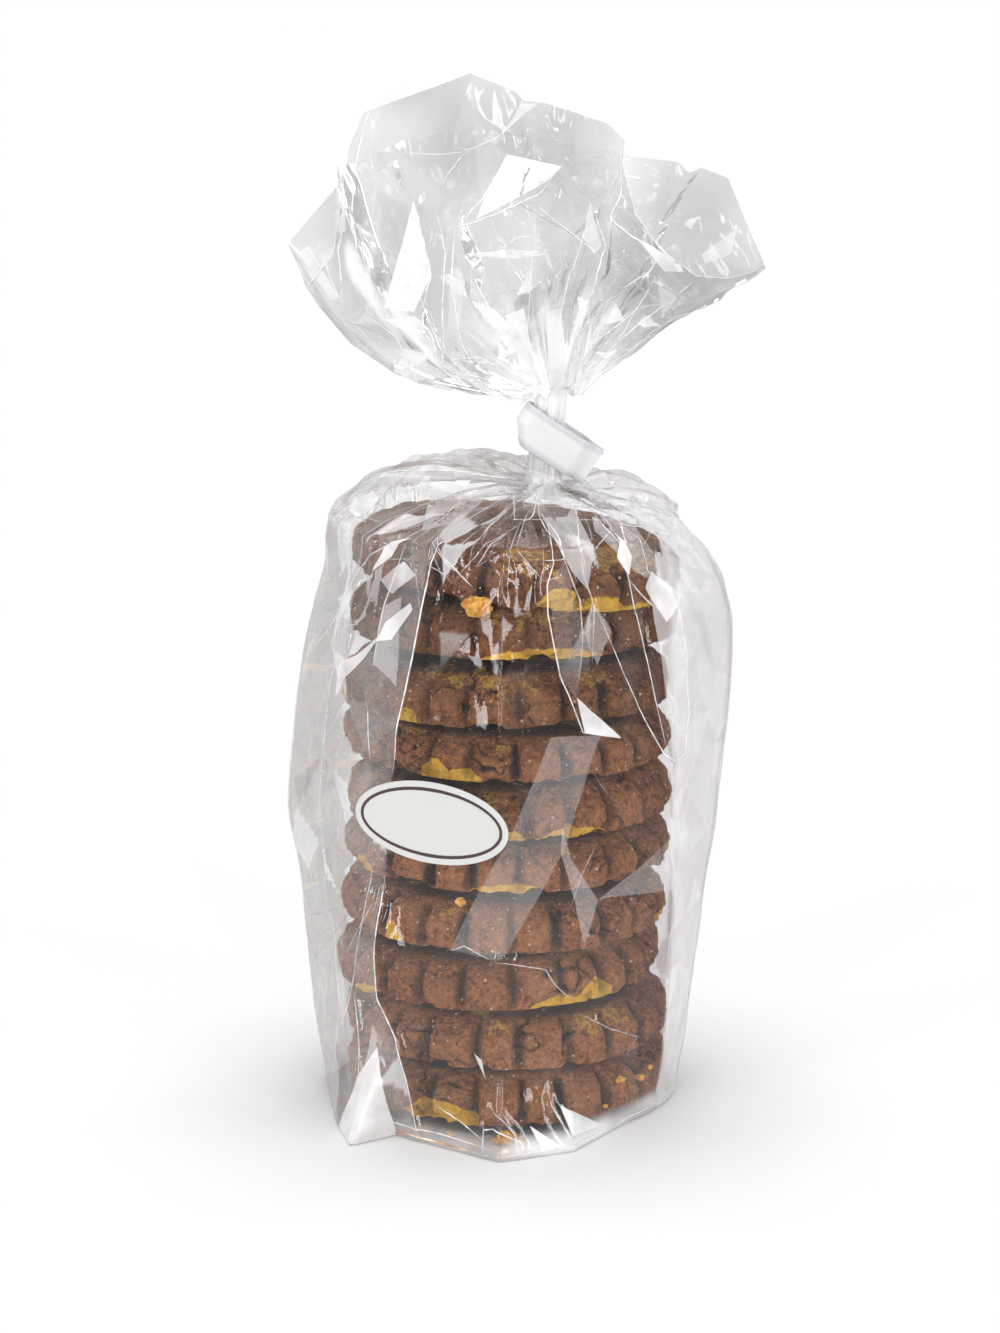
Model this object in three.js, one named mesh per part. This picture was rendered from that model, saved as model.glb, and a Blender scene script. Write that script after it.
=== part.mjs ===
// A bag of ten round chocolate biscuits: a clear film bag standing on its flat base,
// gathered into a neck above the stack, held by a white clip band, with the spare film
// fanning out above the band, and an oval paper label across the bag's left front face.
// Millimetres, +Z up. The origin is on the floor, on the axis of the stack of biscuits.
// The shut bag and what it holds are one solid; the film above the band is an open shell.
import * as THREE from "three";

// ---- Driving dimensions ----
const STACK_RADIUS = 37; // of one biscuit
const HUG_RADIUS = STACK_RADIUS + 1.6; // the film where it lies against the biscuits
const FACE_NORMAL = 240; // degrees: which way the flat left front face looks
const FACE_DISTANCE = 40.5; // of that face from the stack's axis

const NECK_LOW = new THREE.Vector3(8, 0, 140);
const NECK_HIGH = new THREE.Vector3(9.6, 0, 159.5);
const NECK_HALF_WIDTH = 3.3;
const NECK_HALF_DEPTH = 2.2;

const WALL = 0.8; // of the open film above the band
const FLOOR_SHARE = 0.24; // how far up the fan its hollow starts

const BAND_LENGTH = 20;
const BAND_WIDTH = 9;
const BAND_THICKNESS = 0.6;
const BAND_HALF_DEPTH = 3.5;
const BAND_TILT = 33; // degrees: its loose end hangs down to the right
const BAND_SLANT = 0.35; // how much shorter its lower edge is towards the bend
const BAND_CENTRE = new THREE.Vector3(10.3, 0, 147.3);

const LABEL_WIDTH = 38;
const LABEL_HEIGHT = 18;
const LABEL_THICKNESS = 0.3;
const LABEL_GAP = 0.5;
const LABEL_SIDEWAYS = 4.8; // its centre, along the face from the point nearest the axis
const LABEL_Z = 71.5;

// The bag's upright folds: where each stands round the axis, in degrees from +X, and how
// far from the axis it is at each of these heights.
const HEIGHTS = [0, 20, 50, 66, 92, 112, 124, 131];
const onFace = (angle) => FACE_DISTANCE / Math.cos(radians(angle - FACE_NORMAL));
const FOLDS = [
  { angle: -31, reach: [37.8, 41, 42, 42, 42, 41, 39.8, 38.6] }, // right front
  { angle: -5, reach: [38.5, 41, 44.8, 47, 49.6, 49, 44.6, 39.2] }, // right gusset
  { angle: 45, reach: [42, 43, 43, 43, 43, 42, 41, 39] }, // right rear
  { angle: 92, reach: [41, 41, 40.5, 40.5, 40.5, 40, 39.5, 38.8] }, // rear
  { angle: 135, reach: [42, 43, 43, 43, 43, 42, 41, 39] }, // left rear
  { angle: 180, reach: [41.4, 44, 46.4, 49, 46.4, 43.4, 41, 39] }, // left gusset
  { angle: 217, reach: [47.5, 45, onFace(217), onFace(217), onFace(217), 42.4, 40.6, 38.8] }, // left front
  { angle: 231, reach: [54.5, 45, onFace(231), onFace(231), onFace(231), 40.5, 39.6, 38.7] }, // folded ear at the base
  { angle: 235.5, reach: [43.8, 42.6, onFace(235.5), onFace(235.5), onFace(235.5), 40.3, 39.5, 38.7] }, // beside the ear
  { angle: 268, reach: [52.5, 48, onFace(268), onFace(268), onFace(268), 43, 40.8, 38.8] }, // front
  { angle: 287, reach: [48.2, 43.4, 41, 40.5, 40, 39.6, 39.2, 38.7] }, // beside the front
];

// The fan's free edge, straight between its corners: where each corner starts round the
// neck, in degrees, and where it is.
const EDGE = [
  { angle: -5, at: [55.6, 1, 186.2] }, // right tip
  { angle: 6, at: [50, 4, 198.7] },
  { angle: 12, at: [47.5, 6, 204.5] },
  { angle: 20, at: [41.5, 8, 206.5] },
  { angle: 25, at: [39, 9, 205.3] }, // a nick
  { angle: 31, at: [36.8, 10, 207.4] },
  { angle: 45, at: [27, 13, 208.3] },
  { angle: 75, at: [11, 18, 211] },
  { angle: 100, at: [-6, 19, 214] }, // rear
  { angle: 125, at: [-22, 15, 212] },
  { angle: 148, at: [-34, 8, 206.8] },
  { angle: 158, at: [-38.2, 4, 207] },
  { angle: 168, at: [-37.5, 2, 202.5] },
  { angle: 180, at: [-47.8, -2, 190.8] }, // left tip
  { angle: 190, at: [-44, -7, 181.5] },
  { angle: 203, at: [-37, -12, 190] },
  { angle: 217, at: [-33, -17, 212] },
  { angle: 231, at: [-29.6, -20, 221] },
  { angle: 255, at: [-8, -24, 229] }, // front, the highest point
  { angle: 264, at: [2, -24, 225] },
  { angle: 268, at: [3.2, -24, 223.4] }, // a nick
  { angle: 275, at: [7, -23.5, 223] },
  { angle: 287, at: [17, -21.8, 219.7] },
  { angle: 293, at: [20.5, -20.5, 218.6] },
  { angle: 301, at: [23.8, -18, 215] },
  { angle: 309, at: [24.2, -16, 209.5] },
  { angle: 318, at: [27, -15, 199] },
  { angle: 329, at: [33, -12, 190.5] },
  { angle: 340, at: [41, -8, 184.2] },
  { angle: 347, at: [46.5, -5, 184] },
];
const SAG_REACH = 0.58; // how far out the film starts to turn up, as a share of its reach
const SAG_SPREAD = 0.95; // the same share, front to back, so that the fan opens early
const SAG_RISE = 0.13; // how high it is there, as a share of its rise
const SAG_LEAN = 0.36; // more than that to the right, and less to the left

const PLEATS = 11; // gathered folds round the neck
const PLEAT_DEPTH = 1.6;
const REAR_LIFT = 4; // of the film over the top biscuit at its left rear
const REAR_LIFT_ANGLE = 130;

// ---- Resolution ----
const WIDEST_COLUMN = 5; // degrees
const BODY_ROWS = [0, 5, 12, 20, 34, 50, 66, 80, 92, 103, 112, 120, 127, 131];
const SHOULDER_ROWS = 6;
const NECK_ROWS = 2;
const FAN_ROWS = 10;

function radians(degrees) {
  return (degrees * Math.PI) / 180;
}

// A smooth curve through the values at the knots.
function through(knots, values, x) {
  const at = (i) => {
    const k = Math.min(Math.max(i, 0), knots.length - 1);
    return [knots[k], values[k]];
  };
  let i = 0;
  while (i < knots.length - 2 && x >= at(i + 1)[0]) i += 1;
  const [[x0, y0], [x1, y1], [x2, y2], [x3, y3]] = [at(i - 1), at(i), at(i + 1), at(i + 2)];
  const span = x2 - x1;
  const slope1 = x2 > x0 ? (y2 - y0) / (x2 - x0) : 0;
  const slope2 = x3 > x1 ? (y3 - y1) / (x3 - x1) : 0;
  const t = (x - x1) / span;
  const t2 = t * t;
  const t3 = t2 * t;
  return (
    (2 * t3 - 3 * t2 + 1) * y1 +
    (t3 - 2 * t2 + t) * span * slope1 +
    (3 * t2 - 2 * t3) * y2 +
    (t3 - t2) * span * slope2
  );
}

// ---- The bag below the neck ----

// The film's distance from the stack's axis: flat between the folds, and never inside the
// biscuits it lies against.
function filmReach(angle, z) {
  const turned = ((((angle - FOLDS[0].angle) % 360) + 360) % 360) + FOLDS[0].angle;
  let i = 0;
  while (i < FOLDS.length - 1 && turned >= FOLDS[i + 1].angle) i += 1;
  const from = FOLDS[i];
  const to = FOLDS[(i + 1) % FOLDS.length];
  const toAngle = i + 1 < FOLDS.length ? to.angle : to.angle + 360;
  const reachFrom = through(HEIGHTS, from.reach, z);
  const reachTo = through(HEIGHTS, to.reach, z);
  const whole = radians(toAngle - from.angle);
  const before = radians(turned - from.angle);
  const straight =
    (reachFrom * reachTo * Math.sin(whole)) /
    (reachFrom * Math.sin(before) + reachTo * Math.sin(whole - before));
  return Math.max(straight, HUG_RADIUS);
}

function bodyPoint(angle, z) {
  const a = radians(angle);
  const reach = filmReach(angle, z);
  return new THREE.Vector3(reach * Math.cos(a), reach * Math.sin(a), z);
}

// ---- Shoulder, neck and fan ----

// A gathered fold's in and out at this angle, from -1 to 1, sharp on the outside.
function pleat(angle) {
  const phase = radians((angle * PLEATS) / 2) + 0.8 * Math.sin(radians(angle * 2 + 40));
  return 1 - 2 * Math.abs(Math.sin(phase));
}

function neckPoint(angle, share, swell = 0) {
  const a = radians(angle);
  const centre = NECK_LOW.clone().lerp(NECK_HIGH, share);
  const fold = 1 + 0.1 * pleat(angle);
  centre.x += (NECK_HALF_WIDTH * fold + swell) * Math.cos(a);
  centre.y += (NECK_HALF_DEPTH * fold + swell) * Math.sin(a);
  return centre;
}

// The film over the top biscuit, from the body's last row (share 0) to the neck (share 1).
function shoulderPoint(angle, share) {
  const rim = bodyPoint(angle, HEIGHTS.at(-1));
  const neck = neckPoint(angle, 0);
  const inward = Math.sin((share * Math.PI) / 2) ** 1.15;
  const point = rim.clone().lerp(neck, inward);
  const dome = [rim.z, 135.2, 136.4, 137, neck.z];
  point.z = through([0, 0.25, 0.55, 0.82, 1], dome, share);
  const lift = REAR_LIFT * Math.max(0, Math.cos(radians(angle - REAR_LIFT_ANGLE)));
  point.z += lift * Math.sin(Math.PI * share ** 0.75);
  point.z += PLEAT_DEPTH * 0.7 * pleat(angle) * Math.sin(Math.PI * share ** 1.7);
  return point;
}

function edgePoint(angle) {
  const first = EDGE[0].angle;
  const turned = ((((angle - first) % 360) + 360) % 360) + first;
  let i = 0;
  while (i < EDGE.length - 1 && turned >= EDGE[i + 1].angle) i += 1;
  const from = EDGE[i];
  const to = EDGE[(i + 1) % EDGE.length];
  const toAngle = i + 1 < EDGE.length ? to.angle : to.angle + 360;
  const share = (turned - from.angle) / (toAngle - from.angle);
  return new THREE.Vector3(...from.at).lerp(new THREE.Vector3(...to.at), share);
}

// The film above the band, from the neck (share 0) to its free edge (share 1).
function fanPoint(angle, share) {
  const a = radians(angle);
  const start = neckPoint(angle, 1);
  const end = edgePoint(angle);
  const turn = start.clone().lerp(end, SAG_REACH);
  turn.y = start.y + (end.y - start.y) * SAG_SPREAD;
  turn.z = start.z + (end.z - start.z) * (SAG_RISE + SAG_LEAN * Math.cos(a));
  const point = new THREE.QuadraticBezierCurve3(start, turn, end).getPoint(share);
  const outward = end.clone().sub(start).setZ(0).normalize();
  const side = Math.sin(a) ** 4; // none towards the two tips
  const depth = PLEAT_DEPTH * side * Math.sin(Math.PI * share ** 1.2) * pleat(angle);
  return point.addScaledVector(outward, depth);
}

function fanInside(angle, share) {
  const stepAngle = 5;
  const stepShare = 0.02;
  const round = fanPoint(angle + stepAngle, share).sub(fanPoint(angle - stepAngle, share));
  const up = fanPoint(angle, Math.min(1, share + stepShare)).sub(fanPoint(angle, share - stepShare));
  const outward = round.cross(up).normalize();
  return fanPoint(angle, share).addScaledVector(outward, -WALL);
}

// ---- One closed skin from rows of points ----

// A column of points on every fold and at every corner of the free edge, and more between.
function columnAngles() {
  const start = FOLDS[0].angle;
  const turned = [...FOLDS, ...EDGE].map(({ angle }) => ((angle - start + 360) % 360) + start);
  const corners = [...new Set(turned)].sort((a, b) => a - b);
  return corners.flatMap((corner, i) => {
    const next = i + 1 < corners.length ? corners[i + 1] : start + 360;
    const n = Math.ceil((next - corner) / WIDEST_COLUMN);
    return Array.from({ length: n }, (_, k) => corner + ((next - corner) * k) / n);
  });
}

// Rows run upwards on the outside and down on the inside, and each end closes on a point.
function closedSkin(rows, firstPoint, lastPoint) {
  const columns = rows[0].length;
  const vertices = [firstPoint, ...rows.flat(), lastPoint];
  const index = (row, column) => 1 + row * columns + (column % columns);
  const faces = [];
  for (let c = 0; c < columns; c += 1) {
    faces.push(0, index(0, c + 1), index(0, c));
    for (let r = 0; r + 1 < rows.length; r += 1) {
      const [a, b] = [index(r, c), index(r, c + 1)];
      const [d, e] = [index(r + 1, c), index(r + 1, c + 1)];
      faces.push(a, b, e, a, e, d);
    }
    faces.push(vertices.length - 1, index(rows.length - 1, c), index(rows.length - 1, c + 1));
  }
  const geometry = new THREE.BufferGeometry();
  geometry.setAttribute(
    "position",
    new THREE.Float32BufferAttribute(vertices.flatMap((v) => v.toArray()), 3),
  );
  geometry.setIndex(faces);
  geometry.computeVertexNormals();
  return geometry;
}

function bagGeometry() {
  const angles = columnAngles();
  const steps = (count, from = 0) =>
    Array.from({ length: count }, (_, i) => from + ((1 - from) * (i + 1)) / count);
  const rows = [
    ...BODY_ROWS.map((z) => angles.map((a) => bodyPoint(a, z))),
    ...steps(SHOULDER_ROWS).map((s) => angles.map((a) => shoulderPoint(a, s))),
    ...steps(NECK_ROWS).map((s) => angles.map((a) => neckPoint(a, s))),
    ...steps(FAN_ROWS).map((s) => angles.map((a) => fanPoint(a, s))),
    ...[...steps(FAN_ROWS - 3, FLOOR_SHARE).reverse(), FLOOR_SHARE].map((s) =>
      angles.map((a) => fanInside(a, s)),
    ),
  ];
  const middle = rows.at(-1).reduce((sum, p) => sum.add(p), new THREE.Vector3());
  return closedSkin(rows, new THREE.Vector3(0, 0, 0), middle.divideScalar(angles.length));
}

// ---- The clip band: a strip folded round the neck, its two ends pressed together ----

function bandGeometry() {
  const half = BAND_LENGTH / 2;
  const outline = (path, inset) => {
    const depth = BAND_HALF_DEPTH - inset;
    const left = -half + BAND_HALF_DEPTH;
    const tailDepth = BAND_THICKNESS + 0.1 - inset;
    const tail = inset ? half - 1.6 : half;
    path.moveTo(5, -depth);
    path.bezierCurveTo(6.6, -depth, 7, -Math.max(tailDepth, 0.12), 8, -Math.max(tailDepth, 0.12));
    path.lineTo(tail, -Math.max(tailDepth, 0.12));
    path.lineTo(tail, Math.max(tailDepth, 0.12));
    path.lineTo(8, Math.max(tailDepth, 0.12));
    path.bezierCurveTo(7, Math.max(tailDepth, 0.12), 6.6, depth, 5, depth);
    path.lineTo(left, depth);
    path.absarc(left, 0, depth, Math.PI / 2, (3 * Math.PI) / 2, false);
    path.closePath();
    return path;
  };
  const shape = outline(new THREE.Shape(), 0);
  shape.holes.push(outline(new THREE.Path(), BAND_THICKNESS));
  const geometry = new THREE.ExtrudeGeometry(shape, {
    depth: BAND_WIDTH,
    bevelEnabled: false,
    curveSegments: 10,
  });
  geometry.translate(0, 0, -BAND_WIDTH / 2);
  const position = geometry.getAttribute("position");
  for (let i = 0; i < position.count; i += 1) {
    const [x, z] = [position.getX(i), position.getZ(i)];
    if (x < 0 && z < 0) position.setX(i, x * (1 + (BAND_SLANT * z) / (BAND_WIDTH / 2)));
  }
  geometry.computeVertexNormals();
  return geometry;
}

// ---- The label ----

function labelGeometry() {
  const oval = new THREE.Shape();
  oval.absellipse(0, 0, LABEL_WIDTH / 2, LABEL_HEIGHT / 2, 0, 2 * Math.PI, false, 0);
  return new THREE.ExtrudeGeometry(oval, {
    depth: LABEL_THICKNESS,
    bevelEnabled: false,
    curveSegments: 24,
  });
}

// ---- Assembly ----

function named(name, geometry, look) {
  const mesh = new THREE.Mesh(geometry, new THREE.MeshStandardMaterial(look));
  mesh.name = name;
  return mesh;
}

const pack = new THREE.Group();

const bag = named("bag", bagGeometry(), { color: 0x6b4433, roughness: 0.25, metalness: 0 });
pack.add(bag);

const band = named("clip_band", bandGeometry(), { color: 0xf2f2ee, roughness: 0.5, metalness: 0 });
band.position.copy(BAND_CENTRE);
band.rotation.y = radians(BAND_TILT);
pack.add(band);

const label = named("label", labelGeometry(), { color: 0xf4f4f6, roughness: 0.45, metalness: 0 });
const face = new THREE.Group();
face.rotation.z = radians(FACE_NORMAL + 90);
label.rotation.x = Math.PI / 2;
label.position.set(LABEL_SIDEWAYS, -(FACE_DISTANCE + LABEL_GAP), LABEL_Z);
face.add(label);
pack.add(face);

export default pack;
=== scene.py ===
import math
from itertools import product

import bpy
import numpy as np
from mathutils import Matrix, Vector
from mathutils.bvhtree import BVHTree
from mathutils.geometry import delaunay_2d_cdt


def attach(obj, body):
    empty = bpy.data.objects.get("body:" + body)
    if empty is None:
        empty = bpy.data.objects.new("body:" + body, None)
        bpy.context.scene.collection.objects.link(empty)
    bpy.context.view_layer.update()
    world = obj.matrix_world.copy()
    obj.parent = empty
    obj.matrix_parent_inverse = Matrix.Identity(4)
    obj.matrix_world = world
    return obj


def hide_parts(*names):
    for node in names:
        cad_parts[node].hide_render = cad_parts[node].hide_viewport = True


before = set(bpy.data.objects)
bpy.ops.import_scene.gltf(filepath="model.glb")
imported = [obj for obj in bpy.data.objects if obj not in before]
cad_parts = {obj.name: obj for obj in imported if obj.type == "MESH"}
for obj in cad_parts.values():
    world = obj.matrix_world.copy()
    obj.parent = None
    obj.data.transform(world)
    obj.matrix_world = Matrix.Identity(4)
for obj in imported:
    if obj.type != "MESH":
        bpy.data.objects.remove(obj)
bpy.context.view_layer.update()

# Lengths are in millimetres. Angles are in degrees round the upright axis: 270 is the front, and 0 the right.
MM = 0.001
rng = np.random.default_rng(11)

# ------------------------------------------------------------------ curves, noise and grids


def radians(angle):
    return np.asarray(angle, float) * math.pi / 180


def either_way(angle):
    """The same angle, from -180 to 180."""
    return (angle + 180) % 360 - 180


def smooth(x, low, high):
    """From 0 at low to 1 at high, with soft ends."""
    t = np.clip((np.asarray(x, float) - low) / (high - low), 0, 1)
    return t * t * (3 - 2 * t)


def fade(x, low, high):
    """From 1 at low to 0 at high, with soft ends."""
    return 1 - smooth(x, low, high)


def within(angle, low, high, soft=1.6):
    """1 between two angles and 0 outside them, with soft ends."""
    off, half = np.abs(either_way(angle - (low + high) / 2)), (high - low) / 2
    return fade(off, half - soft, half + soft)


def stations(start, *legs):
    """Values from the start on: each leg is the value that it ends at, and how many steps it takes."""
    values = [start]
    for end, count in legs:
        values += np.linspace(values[-1], end, count + 1)[1:].tolist()
    return np.array(values, float)


def through(knots, values, x):
    """A smooth curve through the values at the knots."""
    k, v = (np.pad(np.asarray(row, float), 1, "edge") for row in (knots, values))
    i = np.clip(np.searchsorted(k, x, side="right") - 1, 1, len(k) - 3)
    x0, x1, x2, x3 = (k[i + step] for step in range(-1, 3))
    y0, y1, y2, y3 = (v[i + step] for step in range(-1, 3))
    span = x2 - x1
    t = (x - x1) / span
    start, end = span * (y2 - y0) / (x2 - x0), span * (y3 - y1) / (x3 - x1)
    return y1 + (3 * t**2 - 2 * t**3) * (y2 - y1) + (t**3 - 2 * t**2 + t) * start + (t**3 - t**2) * end


NOISE_PRIMES = (73856093, 19349663, 83492791, 2654435761)


def noise(points, size, seed):
    """Smooth value noise from -1 to 1 whose lumps are about size across."""
    p = np.asarray(points, float) / size + 1000.5
    cell = np.floor(p).astype(np.int64)
    f = smooth(p - cell, 0, 1)
    total = np.zeros(p.shape[:-1])
    for corner in product((0, 1), repeat=3):
        numbers = (*np.moveaxis(cell + corner, -1, 0), seed)
        x, y, z, s = (number * prime for number, prime in zip(numbers, NOISE_PRIMES))
        h = x ^ y ^ z ^ s
        h = (h ^ (h >> 13)) * 1274126177 & 0x7FFFFFFF
        h = h ^ (h >> 16)
        total += ((h & 0xFFFF) / 32767.5 - 1) * np.where(corner, f, 1 - f).prod(-1)
    return total


def layered(points, seed, *layers):
    """Layers of noise added up: each is how strong it is and how large its lumps are."""
    return sum(strength * noise(points, size, seed + k) for k, (strength, size) in enumerate(layers))


def flat_noise(u, v, seed):
    """Noise on a plane, with lumps about 1 across."""
    return noise(joined(u, v, 0.0), 1.0, seed)


def crumple(cols, rows, across, up, jitter=0.36):
    """A crumpled sheet on a grid that closes on itself sideways: (height, shade, edges), the height flat
    between random knots, from -1 to 1, the shade one value from 0 to 1 for each flat piece, and the edges
    between the pieces as pairs of (column, row)."""
    sideways, upwards, height = (rng.uniform(-1, 1, (across, up + 3)) for _ in range(3))
    out, shade, edges = np.zeros((rows, cols)), np.zeros((rows, cols)), []

    def knot(i, j):
        k = i % across
        column = (i + jitter * sideways[k, j]) / across * cols
        row = (j - 1 + jitter * upwards[k, j]) / up * (rows - 1)
        return column, row, height[k, j]

    for i, j in product(range(across), range(up + 2)):
        a, b, c, d = knot(i, j), knot(i + 1, j), knot(i + 1, j + 1), knot(i, j + 1)
        rising = rng.random() < 0.5
        halves, diagonal = (((a, b, c), (a, c, d)), (a, c)) if rising else (((a, b, d), (b, c, d)), (b, d))
        edges += [[end[:2] for end in edge] for edge in ((a, b), (a, d), diagonal)]
        for (x1, y1, h1), (x2, y2, h2), (x3, y3, h3) in halves:
            value = rng.random()
            area = (x2 - x1) * (y3 - y1) - (x3 - x1) * (y2 - y1)
            r0, r1 = max(0, math.ceil(min(y1, y2, y3))), min(rows - 1, math.floor(max(y1, y2, y3)))
            c0, c1 = math.ceil(min(x1, x2, x3)), math.floor(max(x1, x2, x3))
            if r1 < r0 or c1 < c0 or abs(area) < 1e-9:
                continue
            y, x = np.mgrid[r0 : r1 + 1, c0 : c1 + 1]
            w2 = ((x - x1) * (y3 - y1) - (x3 - x1) * (y - y1)) / area
            w3 = ((x2 - x1) * (y - y1) - (x - x1) * (y2 - y1)) / area
            w1 = 1 - w2 - w3
            inside = (w1 >= -1e-9) & (w2 >= -1e-9) & (w3 >= -1e-9)
            out[y[inside], x[inside] % cols] = (w1 * h1 + w2 * h2 + w3 * h3)[inside]
            shade[y[inside], x[inside] % cols] = value
    return out, shade, edges


def soften_round(field):
    return (np.roll(field, 1, 1) + 2 * field + np.roll(field, -1, 1)) / 4


def soften(field):
    up = np.pad(soften_round(field), ((1, 1), (0, 0)), "edge")
    return (up[:-2] + 2 * up[1:-1] + up[2:]) / 4


def grid_normals(p):
    """Outward normals of a grid of points, rows upwards and columns round."""
    n = np.cross(np.roll(p, -1, 1) - np.roll(p, 1, 1), np.gradient(p, axis=0))
    return n / (np.linalg.norm(n, axis=-1, keepdims=True) + 1e-9)


def turned(points, axes, angle):
    """The points, turned from the first of two axes towards the second."""
    (first, second), out = axes, points.copy()
    c, s = math.cos(math.radians(angle)), math.sin(math.radians(angle))
    out[..., first] = c * points[..., first] - s * points[..., second]
    out[..., second] = s * points[..., first] + c * points[..., second]
    return out


X, Y, Z = range(3)


def joined(*fields):
    """Fields of coordinates, as points."""
    return np.stack(np.broadcast_arrays(*fields), -1)


def above_floor(points, least):
    """The points, with none of them lower than least."""
    points[..., Z] = np.maximum(points[..., Z], least)
    return points


def tube_faces(rows, cols):
    """Quads of a grid whose columns close on themselves, facing outwards when rows go up."""
    r, c = np.mgrid[0 : rows - 1, 0:cols]
    a, b = r * cols + c, r * cols + (c + 1) % cols
    return np.stack([a, b, b + cols, a + cols], -1).reshape(-1, 4).tolist()


def make_object(name, points, faces, material, node="bag", slot="film", **fields):
    """A smooth piece that takes the place of a node, with the values of each field at its points."""
    mesh = bpy.data.meshes.new(name)
    mesh.from_pydata((np.asarray(points, float).reshape(-1, 3) * MM).tolist(), [], faces)
    mesh.update()
    mesh.polygons.foreach_set("use_smooth", [True] * len(mesh.polygons))
    for key, values in fields.items():
        layer = mesh.attributes.new(key, "FLOAT", "POINT")
        layer.data.foreach_set("value", np.asarray(values, np.float32).ravel())
    mesh.materials.append(material)
    piece = bpy.data.objects.new(name, mesh)
    bpy.context.scene.collection.objects.link(piece)
    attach(piece, "root")
    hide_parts(node)


# ------------------------------------------------------------------ materials


class Nodes:
    """The nodes of a material or a world, made and linked in one call each."""

    def __init__(self, owner):
        owner.use_nodes = True
        self.owner, self.tree = owner, owner.node_tree
        self.tree.nodes.clear()
        self.where = self.add("ShaderNodeTexCoord").outputs

    def add(self, kind, inputs=None, **settings):
        node = self.tree.nodes.new(kind)
        for key, value in settings.items():
            setattr(node, key, value)
        for key, value in (inputs or {}).items():
            if isinstance(value, bpy.types.NodeSocket):
                self.tree.links.new(value, node.inputs[key])
            else:
                node.inputs[key].default_value = value
        return node

    def math(self, operation, *values, clamp=False):
        inputs = dict(enumerate(values))
        return self.add("ShaderNodeMath", inputs, operation=operation, use_clamp=clamp).outputs[0]

    def weighted(self, *terms):
        """The sum of some values, each times its weight."""
        total = 0.0
        for value, weight in terms:
            total = self.math("MULTIPLY_ADD", value, weight, total)
        return total

    def mix(self, factor, a, b):
        return self.add("ShaderNodeMix", {0: factor, 6: a, 7: b}, data_type="RGBA").outputs[2]

    def ramp(self, value, low, high, start=0.0, end=1.0):
        """From start to end while the value goes from low to high."""
        node = self.add("ShaderNodeValToRGB", {0: value})
        for element, place, grey in zip(node.color_ramp.elements, (low, high), (start, end)):
            element.position = place
            element.color = (grey, grey, grey, 1)
        return node.outputs[0]

    def noise(self, scale, detail=3.0, roughness=0.55):
        inputs = {"Vector": self.where["Object"], "Scale": scale, "Detail": detail, "Roughness": roughness}
        return self.add("ShaderNodeTexNoise", inputs).outputs[0]

    def field(self, name):
        return self.add("ShaderNodeAttribute", attribute_name=name).outputs["Fac"]

    def bump(self, height, strength, distance):
        inputs = {"Height": height, "Strength": strength, "Distance": distance}
        return self.add("ShaderNodeBump", inputs).outputs[0]

    def shader(self, kind, **inputs):
        return self.add("ShaderNode" + kind, inputs).outputs[0]

    def blend(self, factor, a, b):
        return self.add("ShaderNodeMixShader", {0: factor, 1: a, 2: b}).outputs[0]

    def surface(self, shader):
        self.add("ShaderNodeOutputMaterial", {"Surface": shader})
        return self.owner

    def solid(self, colour, roughness, more=None):
        inputs = {"Base Color": colour, "Roughness": roughness, **(more or {})}
        return self.surface(self.add("ShaderNodeBsdfPrincipled", inputs).outputs[0])


def material_nodes(name):
    return Nodes(bpy.data.materials.new(name))


def rgb(*eight_bit):
    """A linear colour from the eight-bit one seen on a screen."""
    shares = [value / 255 for value in eight_bit]
    return (*(v / 12.92 if v <= 0.04045 else ((v + 0.055) / 1.055) ** 2.4 for v in shares), 1)


def cool(share, blue):
    """A grey that is a little bluer than an even one."""
    return (share, share, share * blue, 1)


WHITE = (1, 1, 1, 1)


def cookie_material():
    n = material_nodes("marbled_cookie")
    dough, hollow = n.field("dough"), n.field("hollow")
    sand, fine, crumb = n.noise(1500, 3, 0.75), n.noise(820, 4, 0.7), n.noise(330, 4, 0.65)
    grain = n.weighted((crumb, 0.22), (fine, 0.43), (sand, 0.35))
    brown = n.mix(n.ramp(grain, 0.40, 0.62), rgb(82, 40, 19), rgb(215, 138, 85))
    brown = n.mix(n.ramp(n.noise(75), 0.4, 0.7, end=0.6), brown, rgb(204, 141, 96))
    yellow = n.mix(n.ramp(grain, 0.38, 0.62), rgb(238, 162, 32), rgb(255, 214, 88))
    ragged_dough = n.math("MULTIPLY_ADD", grain, 1.3, n.math("SUBTRACT", dough, 0.65))
    colour = n.mix(n.ramp(ragged_dough, 0.36, 0.6), brown, yellow)
    # painted shade: darker in the hollows, between the cookies and under the gathered film
    colour = n.mix(n.ramp(hollow, 0.05, 0.9, end=0.9), colour, rgb(22, 9, 5))
    pits = n.ramp(n.weighted((fine, 0.6), (sand, 0.4)), 0.36, 0.46, 1.0, 0.0)
    pit_shade = n.math("MULTIPLY", pits, n.math("SUBTRACT", 0.34, n.math("MULTIPLY", dough, 0.3)))
    colour = n.mix(pit_shade, colour, rgb(60, 28, 16))
    specks = n.add("ShaderNodeTexVoronoi", {"Vector": n.where["Object"], "Scale": 620}).outputs
    some = n.ramp(n.add("ShaderNodeSeparateColor", {0: specks["Color"]}).outputs[0], 0.74, 0.78)
    sugar = n.math("MULTIPLY", n.ramp(specks["Distance"], 0.12, 0.24, 1.0, 0.0), some)
    colour = n.mix(n.math("MULTIPLY", sugar, 0.8), colour, rgb(244, 222, 190))
    bump = n.bump(n.weighted((crumb, 1.2), (fine, 1.0), (sand, 0.35)), 1.0, 0.0024)
    return n.solid(colour, n.ramp(sugar, 0.0, 1.0, 0.8, 0.3), {"Normal": bump, "Specular IOR Level": 0.3})


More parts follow.
